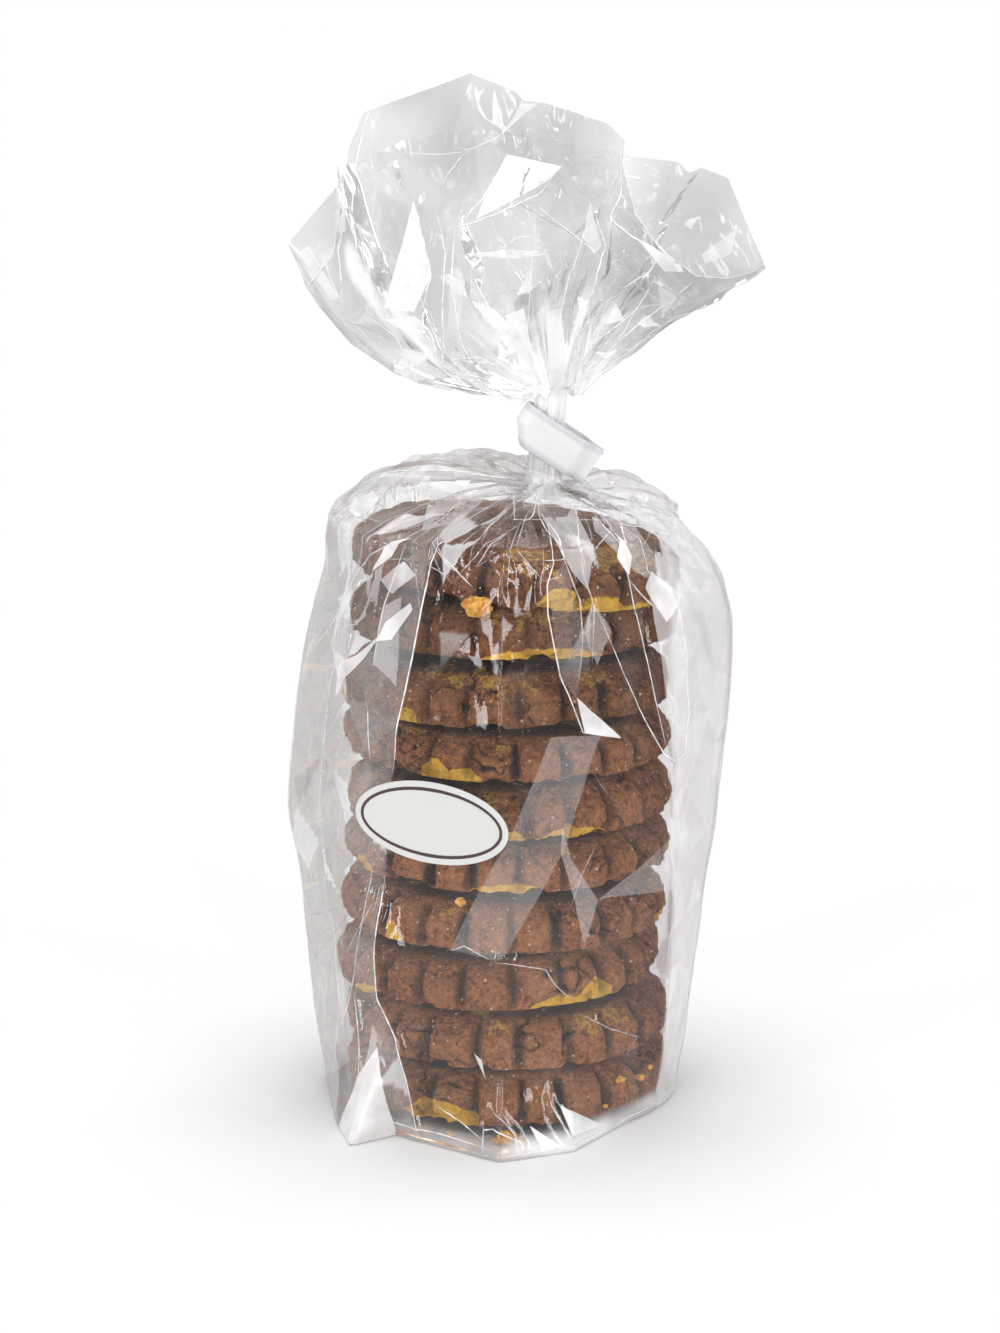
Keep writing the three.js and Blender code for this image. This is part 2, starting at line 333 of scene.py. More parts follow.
def crumb_material():
    n = material_nodes("dough_crumb")
    grain = n.noise(900, 4)
    colour = n.mix(n.ramp(grain, 0.4, 0.62), rgb(190, 118, 34), rgb(238, 184, 84))
    return n.solid(colour, 0.7, {"Normal": n.bump(grain, 0.8, 0.0012)})


def sheen_paint(n, bump, white):
    """Painted sheen that stands in for the film's reflections: white that scatters most light back and lets a
    little through.
    """
    front = n.shader("BsdfDiffuse", Color=rgb(white, white - 1, white), Normal=bump)
    return n.blend(0.12, front, n.shader("BsdfTranslucent", Color=rgb(233, 233, 234)))


def film_material(name, passes, passes_grey, roughness, white):
    """Clear film: it passes light straight through, less where grey says so, is painted white as a stand-in
    for its reflections where its field says that it is creased or lies in layers, and shines."""
    n = material_nodes(name)
    veil, grey = n.field("veil"), n.field("grey")
    facing = n.add("ShaderNodeLayerWeight", {"Blend": 0.5}).outputs["Facing"]
    bump = n.bump(n.noise(150, 4, 0.6), 0.08, 0.0012)
    sheen_mottle = n.ramp(n.noise(90, 4), 0.35, 0.7, 0.84, 1.0)
    grazing_sheen = n.math("MULTIPLY", n.math("POWER", facing, 4.0), 0.25)
    sheen_strength = n.math("MULTIPLY_ADD", veil, sheen_mottle, grazing_sheen, clamp=True)
    tone = n.mix(grey, cool(passes, 1.004), cool(passes_grey, 1.006))
    edge_on = n.mix(n.math("POWER", facing, 3.0), tone, cool(0.9 * passes, 1.004))
    # the white here is a painted sheen that stands in for the film's reflections
    body = n.blend(sheen_strength, n.shader("BsdfTransparent", Color=edge_on), sheen_paint(n, bump, white))
    gleam = n.shader("BsdfGlossy", Color=WHITE, Roughness=roughness, Normal=bump)
    shine = n.math("MULTIPLY", n.shader("Fresnel", IOR=1.5, Normal=bump), 0.45, clamp=True)
    return n.surface(n.blend(shine, body, gleam))


def crease_material(name, break_scale, weakest, gloss, white):
    """Painted highlights on the film's creases: white, as strong as their field says, broken up by a noise of
    this scale.
    """
    n = material_nodes(name)
    broken = n.ramp(n.noise(break_scale), 0.34, 0.56, weakest, 1.0)
    bump = n.bump(n.noise(700, 2), 0.2, 0.0004)
    gleam = n.shader("BsdfGlossy", Color=WHITE, Roughness=0.32, Normal=bump)
    line = n.blend(gloss, sheen_paint(n, bump, white), gleam)
    strength = n.math("MULTIPLY", n.field("veil"), broken, clamp=True)
    return n.surface(n.blend(strength, n.shader("BsdfTransparent", Color=WHITE), line))


def seam_reflection_material():
    # painted reflection: brown from the cookies, with white highlights
    n = material_nodes("film_seam_reflection")
    return n.solid(n.mix(n.ramp(n.noise(260), 0.4, 0.6), rgb(176, 118, 62), rgb(246, 226, 190)), 0.35)


def paper_material():
    n = material_nodes("label_paper")
    fibre = n.noise(900)
    paper = n.mix(fibre, rgb(188, 188, 186), rgb(196, 196, 194))
    colour = n.mix(n.ramp(n.field("ring"), 0.45, 0.55), paper, rgb(52, 26, 30))
    return n.solid(colour, 0.42, {"Normal": n.bump(fibre, 0.08, 0.0003)})


def band_material():
    n = material_nodes("band_plastic")
    mottled = n.noise(300)
    colour = n.mix(mottled, rgb(210, 209, 207), rgb(220, 219, 217))
    colour = n.mix(n.math("MULTIPLY", n.field("rib"), 0.55), colour, rgb(168, 170, 180))
    more = {"Normal": n.bump(n.noise(1500, 2), 0.12, 0.0004), "Subsurface Weight": 0.1}
    return n.solid(colour, n.ramp(mottled, 0.3, 0.7, 0.4, 0.55), more)


def wire_material():
    n = material_nodes("wire")
    return n.solid(n.mix(n.noise(2000, 2), rgb(52, 50, 50), rgb(84, 80, 78)), 0.4, {"Metallic": 0.6})


def floor_material():
    n = material_nodes("studio_floor")
    return n.solid(n.mix(n.noise(3, 2), (0.685, 0.685, 0.688, 1), (0.705, 0.705, 0.705, 1)), 0.75)


# ------------------------------------------------------------------ the cookies

COOKIE_RADIUS, WIDEST_CRUMB = 36.6, 37.7
FLUTES = 21
GROOVE_DEPTH, GROOVE_WIDTH = 2.3, 1.05
BLOCK_SLOPE, BLOCK_REACH = 0.7, 5.4
LUMPS = [(0.4, 7.5), (0.28, 3.1), (0.26, 1.6), (0.24, 0.9)]  # how high and how wide
CRACK_DEPTH, DENT_DEPTH = 1.1, 0.8
CHIP_HEIGHT, CHIP_SHARE = 1.0, 0.016

# Each from the top down: middle height, half thickness, slide right and back, tips (left end up, front up).
COOKIES = [
    (123.6, 5.9, 2.4, 0.0, 5.2, -1.0),
    (111.6, 5.9, 0.9, 0.4, 0.6, 0.6),
    (96.7, 6.3, -0.6, -0.3, -0.4, 1.0),
    (84.6, 5.2, -0.3, 0.2, 0.8, -0.8),
    (71.6, 6.2, 0.3, -0.2, -1.2, 0.7),
    (59.6, 5.6, 0.2, 0.3, 0.5, 0.4),
    (46.6, 5.9, -1.0, -0.3, 1.3, 0.0),
    (33.5, 5.9, -2.0, 0.0, -1.6, 0.5),
    (20.4, 6.0, 0.1, 0.2, 0.3, -0.4),
    (7.2, 6.1, -0.2, -0.3, -0.3, 0.0),
]

# Yellow dough that shows on each: (from, to, how far up from the bottom edge, how far in over the top rim).
DOUGH = [
    [(276, 294, 6.0, 0), (288, 312, 4.2, 0), (304, 342, 2.4, 0), (262, 284, 0, 14), (300, 345, 0, 14),
        (90, 150, 3.0, 10)],
    [(258, 304, 3.2, 0), (256, 268, 0, 7), (270, 286, 0, 7.5), (288, 300, 0, 6), (60, 100, 2.5, 4)],
    [(229, 238, 4.2, 0), (247, 268, 0, 8), (266, 283, 0, 6), (298, 312, 0, 6), (150, 200, 3.0, 3)],
    [(238, 252, 5.0, 0), (246, 262, 3.4, 0), (262, 274, 0, 4), (20, 60, 2.5, 4)],
    [(266, 276, 3.4, 0), (278, 306, 3.4, 0), (250, 268, 0, 7), (120, 160, 3.0, 3)],
    [(256, 282, 3.0, 0), (200, 216, 3.4, 3), (282, 296, 0, 4), (40, 90, 2.0, 3)],
    [(224, 232, 5.0, 0), (246, 262, 0, 4), (160, 190, 2.5, 3), (340, 360, 2.5, 0)],
    [(280, 302, 3.0, 0), (296, 315, 5.4, 0), (204, 224, 2.6, 0), (80, 120, 2.5, 2)],
    [(294, 324, 0, 7), (260, 272, 0, 4), (20, 70, 2.5, 3)],
    [(228, 262, 5.6, 2), (100, 150, 2.4, 2)],
]

COOKIE_COLUMNS = 440
# Painted shade: how much each cookie under the gathered film is darkened.
FOLD_SHADE = [0.42, 0.42, 0.34, 0.15, 0, 0, 0, 0, 0, 0]
# The outline of one cookie's half section from the middle of its top to the middle of its bottom: distance in
# from the rim and height, as shares of the radius and half thickness, and how strongly the flutes cut it.
COOKIE_SECTION = [
    (1.0, 1.00, 0), (0.72, 1.00, 0), (0.5, 0.99, 0), (0.36, 0.93, 0), (0.27, 0.85, 0.1),
    (0.165, 0.76, 0.3), (0.115, 0.64, 0.6), (0.075, 0.49, 0.85), (0.042, 0.32, 1.0), (0.016, 0.14, 1.0),
    (0.005, -0.05, 1.0), (0.0, -0.22, 1.0), (0.0, -0.40, 1.0), (0.004, -0.56, 0.95), (0.010, -0.70, 0.7),
    (0.008, -0.82, 0.3), (0.012, -0.91, 0.1), (0.05, -0.98, 0.0), (0.3, -1.0, 0), (1.0, -1.0, 0),
]
COOKIE_ROWS = [1, 1, 2, 2, 2, 3, 3, 3, 3, 3, 3, 3, 3, 2, 2, 2, 2, 1, 1]


def section_rows():
    """The section's rows of points, as columns of distance in, height and cut."""
    section, rows = np.array(COOKIE_SECTION), []
    for start, end, count in zip(section, section[1:], COOKIE_ROWS):
        t = np.arange(count)[:, None] / count
        rows.append(start * (1 - t) + end * t)
    rows = np.concatenate([*rows, section[-1:]])
    rows[0, 0] = rows[-1, 0] = 0.985  # a small hole in the middle, which gets a point of its own
    return (rows[:, i, None] for i in range(3))


def flutes(local, theta):
    """Rounded blocks parted by narrow grooves, each a little out of place: how deep the grooves are, how much
    the blocks round off, and how far each block stands out."""
    starts = np.arange(FLUTES) * 360 / FLUTES + local.uniform(-1.7, 1.7, FLUTES)
    depths = local.uniform(0.7, 1.2, FLUTES)
    groove, block = np.zeros_like(theta), np.zeros_like(theta)
    for start, depth in zip(starts, depths):
        off = radians(np.abs(either_way(theta - start))) * COOKIE_RADIUS
        groove = np.maximum(groove, depth * np.exp(-((off / GROOVE_WIDTH) ** 2)))
        block = np.maximum(block, np.clip(1 - off / BLOCK_REACH, 0, 1) ** 2)
    blocks = local.uniform(-0.35, 0.35, FLUTES)
    own = blocks[np.clip(np.searchsorted(np.sort(starts), theta, side="right") - 1, 0, FLUTES - 1)]
    return groove, block, own


def dough_shown(k, theta, height, half, inset, points):
    """How yellow each point of a cookie is: up from the bottom edge, or in over the rim."""
    above, inward = (height + 1) * half, inset * COOKIE_RADIUS
    ragged = layered(points, 12, (1.3, 3.4), (0.8, 1.4))
    wander = 3 * noise(points, 4.0, 14)
    yellow = np.zeros(points.shape[:-1])
    for low, high, up, over in DOUGH[k]:
        span = within(theta + wander, low, high)
        if up:
            edge = up * np.sin(np.clip((theta - low) % 360 / (high - low), 0, 1) * math.pi) ** 0.6
            shown = fade(above + 0.4 * ragged, edge - 0.6, edge + 0.4) * (height > -0.999)
            yellow = np.maximum(yellow, span * shown)
        if over:
            top = smooth(height + 0.16 * ragged, 0.12, 0.4)
            shown = 0.44 * top * fade(inward + 2 * ragged, over - 1.5, over + 1.5)
            yellow = np.maximum(yellow, span * shown)
    marble = noise(points * np.array([1, 1, 1.6]), 11.0, 15) + 0.4 * noise(points, 3.5, 16)
    return np.maximum(yellow, 0.55 * smooth(marble, 0.52, 0.7) * smooth(height, 0.3, 0.9))


def cookie_surface(k):
    """Points in the cookie's own frame, with how yellow each one is and how much painted shade it gets."""
    half = COOKIES[k][1]
    inset, height, cut = section_rows()
    theta = np.arange(COOKIE_COLUMNS)[None, :] * 360 / COOKIE_COLUMNS
    turn = radians(theta)
    local = np.random.default_rng(100 + k)
    wander = sum(local.uniform(-1, 1) * np.sin(m * turn + local.uniform(0, 6.3)) for m in (1, 2, 3, 5))
    groove, block, own = flutes(local, theta)
    radius = COOKIE_RADIUS + 0.28 * wander - cut * (GROOVE_DEPTH * groove + BLOCK_SLOPE * block)
    r = (radius + cut * own * (1 - np.clip(groove, 0, 1))) * (1 - inset)
    z = half * height - 0.5 * cut * groove * smooth(height, 0.2, 0.9)
    p = joined(r * np.cos(turn), r * np.sin(turn), z)
    # crumbly relief, from a noise that differs for each cookie
    points = p + np.array([0, 0, 40.0 * k])
    normals = grid_normals(p[::-1])[::-1]
    rough = 0.35 + 0.65 * smooth(cut, 0.05, 0.6)
    lumps = layered(points, 3, *LUMPS)
    seam = np.abs(noise(points * np.array([1, 1, 1.9]), 6.0, 7) + 0.35 * noise(points, 2.1, 8))
    crack = fade(seam, 0.0, 0.10) * smooth(noise(points, 9.0, 9), 0.0, 0.45)
    dent = 0.5 * smooth(noise(points, 2.4, 10), 0.5, 0.8)
    move = rough * (lumps - CRACK_DEPTH * crack - DENT_DEPTH * dent) - 0.25
    p = p + normals * (move * smooth(inset, 0.9, 0.6))[..., None]  # the middle of each face stays flat
    p[..., Z] = np.clip(p[..., Z], -half - 0.25, half + 0.55)
    chipped = smooth(layered(points, 17, (1, 4.2), (0.5, 1.7)), -0.1, 0.6)
    chipped = chipped * smooth(-height, 0.5, 0.95) * fade(inset, 0.05, 0.2)
    p[..., Z] += CHIP_HEIGHT * chipped
    p[..., :Z] *= 1 - CHIP_SHARE * chipped[..., None]
    out = np.hypot(p[..., X], p[..., Y])
    p[..., :Z] *= (np.minimum(out, WIDEST_CRUMB) / out)[..., None]
    yellow = dough_shown(k, theta, height, half, inset, points)
    # painted shade: in grooves, cracks, dents and low lumps, and on the face that lies in its neighbour's
    # shade
    hollow = np.clip(0.9 * groove * cut + 1.1 * crack * rough + 0.5 * dent * rough, 0, 1)
    hollow = np.maximum(hollow, 0.3 * smooth(-lumps, 0.2, 0.8))
    hollow = np.maximum(hollow, 0.85 * smooth(inset, 0.11, 0.26) * (k > 0)) * (1 - 0.5 * yellow)
    # painted shade under the gathered film
    hollow = np.maximum(hollow, FOLD_SHADE[k] * (1 - 0.8 * np.clip(yellow, 0, 1)))
    return p, yellow * (1 - 0.5 * np.clip(crack, 0, 1)), hollow


def build_cookies(material):
    for k, (middle, _, right, back, tip_left, tip_front) in enumerate(COOKIES):
        p, yellow, hollow = cookie_surface(k)
        p = turned(turned(p, (Z, X), tip_left), (Z, Y), tip_front)
        grid = (p + np.array([right, back, middle]))[::-1]
        rows, cols = grid.shape[:2]
        bottom, top = rows * cols, (rows - 1) * cols
        faces = tube_faces(rows, cols)
        faces += [[bottom, (c + 1) % cols, c] for c in range(cols)]
        faces += [[bottom + 1, top + c, top + (c + 1) % cols] for c in range(cols)]
        points = np.concatenate([grid.reshape(-1, 3), [grid[0].mean(0), grid[-1].mean(0)]])
        dough, hollow = (np.append(field[::-1], [0, 0]) for field in (yellow, hollow))
        make_object(f"cookie_{k + 1:02d}", points, faces, material, dough=dough, hollow=hollow)


# Loose bits of dough: angle round the stack, distance from its axis, height, size.
CRUMBS = [
    (259.2, 35.2, 118.2, 2.5), (253.5, 36.2, 52.8, 1.0), (270, 41.5, 1.5, 1.7), (273.5, 42.5, 1.1, 1.0),
    (266.5, 42.0, 0.9, 0.7), (252, 40.8, 1.0, 0.8), (241, 39.6, 1.0, 0.6), (300, 38.6, 1.1, 0.6),
    (313, 36.6, 9.4, 0.9), (323, 36.7, 8.2, 0.9), (331, 36.5, 9.0, 0.6), (306, 36.6, 4.2, 0.5),
]
CRUMB_RINGS, CRUMB_COLUMNS = 22, 40
CRUMB_SHAPE = np.array([1.15, 0.85, 0.95])
CRUMB_LEAST = 0.05  # how low a crumb reaches: it lies on the floor, not in it


def build_crumbs(material):
    tilt = np.linspace(-math.pi / 2, math.pi / 2, CRUMB_RINGS)[:, None]
    turn = np.arange(CRUMB_COLUMNS)[None, :] * 2 * math.pi / CRUMB_COLUMNS
    ball = joined(np.cos(tilt) * np.cos(turn), np.cos(tilt) * np.sin(turn), np.sin(tilt))
    for k, (angle, reach, z, size) in enumerate(CRUMBS):
        lump = size * (1 + layered(ball + 9 * k, 51, (0.32, 0.8), (0.16, 0.3)))
        place = np.array([reach * np.cos(radians(angle)), reach * np.sin(radians(angle)), z])
        grid = above_floor(ball * lump[..., None] * CRUMB_SHAPE + place, CRUMB_LEAST)
        make_object(f"crumb_{k + 1}", grid, tube_faces(CRUMB_RINGS, CRUMB_COLUMNS), material)


# ------------------------------------------------------------------ the film, on the same sizes as its solid

STACK_RADIUS = 37
HUG_RADIUS = STACK_RADIUS + 1.6
FACE_NORMAL, FACE_DISTANCE = 240, 40.5
NECK_LOW, NECK_HIGH = np.array([8.0, 0, 140]), np.array([9.6, 0, 159.5])
NECK_HALF_WIDTH, NECK_HALF_DEPTH = 3.3, 2.2
HEIGHTS = [0, 20, 50, 66, 92, 112, 124, 131]


def on_face(angle):
    return FACE_DISTANCE / math.cos(math.radians(angle - FACE_NORMAL))


def flat_face(angle, base, low, *high):
    return [base, low, on_face(angle), on_face(angle), on_face(angle), *high]


# The upright folds: angle, and distance from the stack's axis at each of the HEIGHTS.
FOLDS = [
    (-31, [37.8, 41, 42, 42, 42, 41, 39.8, 38.6]),
    (-5, [38.5, 41, 44.8, 47, 49.6, 49, 44.6, 39.2]),
    (45, [42, 43, 43, 43, 43, 42, 41, 39]),
    (92, [41, 41, 40.5, 40.5, 40.5, 40, 39.5, 38.8]),
    (135, [42, 43, 43, 43, 43, 42, 41, 39]),
    (180, [41.4, 44, 46.4, 49, 46.4, 43.4, 41, 39]),
    (217, flat_face(217, 47.5, 45, 42.4, 40.6, 38.8)),
    (231, flat_face(231, 54.5, 45, 40.5, 39.6, 38.7)),
    (235.5, flat_face(235.5, 43.8, 42.6, 40.3, 39.5, 38.7)),
    (268, flat_face(268, 52.5, 48, 43, 40.8, 38.8)),
    (287, [48.2, 43.4, 41, 40.5, 40, 39.6, 39.2, 38.7]),
]
# The far edge of the spare film: angle round the neck, then x, y and z there.
EDGE = [
    (-5, 55.6, 1, 186.2), (6, 50, 4, 198.7), (12, 47.5, 6, 204.5), (20, 41.5, 8, 206.5), (25, 39, 9, 205.3),
    (31, 36.8, 10, 207.4), (45, 27, 13, 208.3), (75, 11, 18, 211), (100, -6, 19, 214), (125, -22, 15, 212),
    (148, -34, 8, 206.8), (158, -38.2, 4, 207), (168, -37.5, 2, 202.5), (180, -47.8, -2, 190.8),
    (190, -44, -7, 181.5), (203, -37, -12, 190), (217, -33, -17, 212), (231, -29.6, -20, 221),
    (255, -8, -24, 229), (264, 2, -24, 225), (268, 3.2, -24, 223.4), (275, 7, -23.5, 223),
    (287, 17, -21.8, 219.7), (293, 20.5, -20.5, 218.6), (301, 23.8, -18, 215), (309, 24.2, -16, 209.5),
    (318, 27, -15, 199), (329, 33, -12, 190.5), (340, 41, -8, 184.2), (347, 46.5, -5, 184),
]
SAG_REACH, SAG_SPREAD, SAG_RISE, SAG_LEAN = 0.58, 0.95, 0.13, 0.36
PLEATS, PLEAT_DEPTH = 11, 1.6
REAR_LIFT, REAR_LIFT_ANGLE = 4, 130

FILM_COLUMNS = 480
FRONT_CROWDING = 22  # degrees: how far the film's columns are drawn towards its front
EVEN = np.arange(FILM_COLUMNS) / FILM_COLUMNS
FILM_ANGLES = 360 * EVEN + FRONT_CROWDING * np.sin(2 * math.pi * (EVEN - 0.25))
THETA = np.mod(FILM_ANGLES, 360)[None, :]

# How far up the film, counted along it, the shoulder and the neck start, and the rows of points on each part.
RIM, NECK_FOOT = HEIGHTS[-1], 169
BASE_ROWS, SHOULDER_ROWS, NECK_ROWS, BAND_ROWS, FAN_ROWS = 4, 55, 6, 8, 170
NECK_JOINT = 0.45  # the share of the neck that belongs to the bag's film, and not to the fan's
BODY_LEGS = [(4, 4), (125, 117), (RIM, 8)]  # finer rows towards the foot and the rim
BODY_RUN = stations(0, *BODY_LEGS)
BAG_RUN = stations(0, *BODY_LEGS, (NECK_FOOT, SHOULDER_ROWS), (NECK_FOOT + NECK_ROWS, NECK_ROWS))


def film_column(angle):
    """Where on the film's columns an angle lies, as a fraction."""
    first = FILM_ANGLES[0]
    past = np.mod(angle - first, 360) + first
    return np.interp(past, [*FILM_ANGLES, first + 360], np.arange(FILM_COLUMNS + 1))


def round_points(angle, reach_x, reach_y, z, centre=(0, 0)):
    """Points round an upright axis."""
    turn = radians(angle)
    return joined(centre[X] + reach_x * np.cos(turn), centre[Y] + reach_y * np.sin(turn), z)


def film_reach(angle, z):
    """The film's distance from the stack's axis at each angle and height: straight between the folds."""
    angles = np.array([fold[0] for fold in FOLDS] + [FOLDS[0][0] + 360], float)
    past = np.mod(angle - angles[0], 360) + angles[0]
    i = np.clip(np.searchsorted(angles, past, side="right") - 1, 0, len(FOLDS) - 1)
    table = np.array([through(HEIGHTS, reach, z) for _, reach in FOLDS + FOLDS[:1]]).T
    start, end = table[:, i], table[:, i + 1]
    whole, before = radians(angles[i + 1] - angles[i]), radians(past - angles[i])
    straight = start * end * np.sin(whole) / (start * np.sin(before) + end * np.sin(whole - before))
    return np.maximum(straight, HUG_RADIUS)


def pleat(angle):
    phase = radians(angle * PLEATS / 2) + 0.8 * np.sin(radians(angle * 2 + 40))
    return 1 - 2 * np.abs(np.sin(phase))


def neck_points(angle, share):
    fold = 1 + 0.1 * pleat(angle)
    centre = NECK_LOW + (NECK_HIGH - NECK_LOW) * share
    return round_points(angle, NECK_HALF_WIDTH * fold, NECK_HALF_DEPTH * fold, centre[Z], centre)


def body_points(angle, z):
    reach = film_reach(angle, z)
    return round_points(angle, reach, reach, z[:, None])


def shoulder_points(angle, shares):
    rim, neck = body_points(angle, np.array([RIM], float))[0], neck_points(angle, 0)
    rows = []
    for share in shares:
        p = rim + (neck - rim) * math.sin(share * math.pi / 2) ** 1.15
        p[:, Z] = through([0, 0.25, 0.55, 0.82, 1], [RIM, 135.2, 136.4, 137, NECK_LOW[Z]], share)
        rear = np.maximum(0, np.cos(radians(angle - REAR_LIFT_ANGLE)))
        p[:, Z] += REAR_LIFT * rear * math.sin(math.pi * share**0.75)
        p[:, Z] += PLEAT_DEPTH * 0.7 * pleat(angle) * math.sin(math.pi * share**1.7)
        rows.append(p)
    return np.array(rows)


def fan_points(angle, shares):
    """Rows of the spare film, each column a curve from the neck that first sags outwards."""
    start = neck_points(angle, 1)
    knots = [edge[0] for edge in EDGE] + [EDGE[0][0] + 360]
    past = np.mod(angle - knots[0], 360) + knots[0]
    end = joined(*(np.interp(past, knots, [edge[k] for edge in EDGE + EDGE[:1]]) for k in (1, 2, 3)))
    rise = SAG_RISE + SAG_LEAN * np.cos(radians(angle))
    bend = start + (end - start) * joined(SAG_REACH, SAG_SPREAD, rise)
    outward = (end - start) * np.array([1, 1, 0])
    outward /= np.linalg.norm(outward, axis=-1, keepdims=True)
    rows = []
    for share in shares:
        p = start * (1 - share) ** 2 + bend * 2 * share * (1 - share) + end * share**2
        depth = PLEAT_DEPTH * np.sin(radians(angle)) ** 4 * math.sin(math.pi * share**1.2) * pleat(angle)
        rows.append(p + outward * depth[:, None])
    return np.array(rows)


# The front left edge of the bag, pressed into the film as a sharp crease: height, angle.
CREASE = [
    (0, 245), (12, 240.5), (21.5, 235.5), (30.6, 230), (40, 228.6), (58, 230), (81, 233), (93, 235.6),
    (111, 241), (128, 246), (134, 250),
]

# Other creases on the front, from fold to fold: angle, and how far up the film, counted along it. Each has
# how far it stands out and how strong its painted highlight is.
FRONT_CREASES = [
    (0.8, 0.8, [(282, 140), (284, 128), (281.8, 123.6), (281.7, 117.7), (285.3, 104), (293.2, 91),
        (307.3, 88.6)]),
    (0.6, 0.6, [(291, 98.8), (307.3, 88.6)]),
    (0.7, 0.5, [(285, 140), (287.2, 128.5), (292.5, 119.9), (293.3, 111.2), (291.4, 102)]),
    (0.7, 0.5, [(292, 138), (293.7, 125.2), (297.2, 118.5), (296.5, 105.5)]),
    (0.9, 0.9, [(297.2, 118.5), (307.1, 103.5), (324.4, 83.1), (328.2, 81.2), (333.5, 82.2),
        (336.3, 90.2), (331.3, 116.1), (320, 124), (312, 142)]),
    (0.9, 0.9, [(303, 142), (304.8, 135.2), (310.9, 122.8), (318, 105.6), (325.1, 84.6)]),
    (0.7, 0.8, [(310.9, 122.8), (328.1, 112.6)]),
    (0.6, 0.8, [(245.9, 132.7), (251.2, 128.2), (259.5, 123.1)]),
    (0.7, 0.6, [(257, 150), (258.4, 143.4), (261.4, 132.3)]),
    (0.7, 0.6, [(274, 150), (278.5, 138.7), (287.6, 130.4)]),
    (0.8, 0.6, [(238, 146), (232.9, 132.3), (222, 127.5), (209.1, 116.7), (197.7, 107.8), (186, 99.9)]),
    (0.7, 0.7, [(236, 131), (229.6, 117.4), (227.4, 109), (226.2, 104.5)]),
    (0.9, 0.8, [(308, 150), (316, 136.2), (346, 126), (351, 115)]),
    (0.7, 0.7, [(318, 150), (326, 139), (350, 132), (356, 117)]),
    (0.5, 0.6, [(254.1, 43.9), (258.1, 45.4), (262, 44.4), (266, 43.5)]),
    (0.5, 0.5, [(266, 43.5), (274, 41.6), (280.1, 40.2), (283, 36.5), (288.2, 32.7)]),
    (0.4, 0.35, [(291, 29), (302, 24), (316, 19.6), (308.4, 15.2)]),
    (0.5, 0.3, [(299, 66), (293, 60), (288.2, 53)]),
    (0.6, 0.8, [(249.8, 9), (258, 6.6), (264.4, 3.6)]),
    (0.8, 0.9, [(264, 1), (264.4, 6.1), (266.8, 6.7), (273.1, 3.3), (273.5, 1)]),
    (0.7, 0.8, [(266.8, 10.5), (271.5, 5.2), (272.3, 1)]),
    (0.8, 0.8, [(281, 11), (286.7, 2.3)]),
    (0.6, 0.5, [(226, 60), (222, 40), (219, 26), (214, 14)]),
    (0.6, 0.5, [(208, 112), (205, 92), (203, 70), (206, 48)]),
    (0.3, 0.8, [(226, 3.4), (238, 2.8), (252, 2.9), (266, 2.2)]),
    (0.3, 0.8, [(264, 0.8), (275, 1.2), (287, 1), (308, 1.2), (329, 1.6), (345, 2.4)]),
    (0.5, 0.7, [(231, 0.5), (229, 9), (225, 19), (221, 30)]),
]
# The welded seam along the foot of the front, painted with a brown reflection of the cookies and white
# highlights.
SEAM = [(232, 1.3), (238, 1.0), (250, 0.9), (262, 0.7)]

# Flats of the film painted white as a reflection of something pale: how much, then their corners.
FRONT_FLATS = [
    (0.9, [(291, 98.8), (307.3, 88.6), (293.6, 91)]),
    (0.15, [(282.4, 91), (299.7, 89.9), (286.3, 65.4), (267.5, 43.5), (253.6, 44.1), (267.5, 65.9)]),
    (0.24, [(285.9, 71), (288.8, 63.6), (298.8, 53.2), (293.2, 43.6), (289.7, 54), (285.5, 65.5)]),
    (0.18, [(298.8, 53.2), (330, 64), (330, 52), (302.9, 53.4)]),
    (0.85, [(283.8, 10.1), (298.9, 2.6), (286.7, 3.3)]),
    (0.8, [(275.4, 6.7), (283.5, 1.5), (278.6, 1)]),
    (0.85, [(260.8, 21.8), (263.2, 20.7), (264.4, 16.8)]),
    (0.35, [(321, 122), (331, 116), (336, 90), (328, 82), (325, 100)]),
    (0.10, [(281.8, 123.6), (287.2, 128.5), (293, 115), (291, 98), (285, 104)]),
    (0.35, [(229.6, 117.4), (236, 120), (234, 100), (226.2, 104.5)]),
    (0.30, [(300, 142), (311, 124), (304, 136)]),
    (0.8, [(221, 0), (231, 20), (236, 0)]),
    (0.95, [(230.5, 114.1), (239.0, 118.8), (239.8, 117.4), (232.3, 110.3), (227.7, 109.8)]),
    (0.6, [(235.9, 127.4), (240.6, 124.8), (232.4, 120.2), (227.0, 122.6)]),
    (0.7, [(209.0, 101.3), (220.6, 106.0), (230.5, 112.1), (222.7, 105.2), (210.3, 95.4)]),
    (0.85, [(227.1, 129.5), (235.1, 133.2), (230.7, 127.9), (223.0, 124.2)]),
    (0.5, [(223.3, 137.0), (232.7, 141.8), (227.1, 133.5), (218.8, 129.6)]),
    (1.0, [(307.5, 134.0), (305.9, 128.2), (310.4, 123.9), (313.1, 127.5)]),
    (0.75, [(321.5, 123.6), (334.2, 117.0), (326.8, 112.0), (319.4, 119.9)]),
    (0.25, [(296.4, 119.2), (302.8, 112.7), (298.1, 105.2), (293.5, 112.5)]),
]
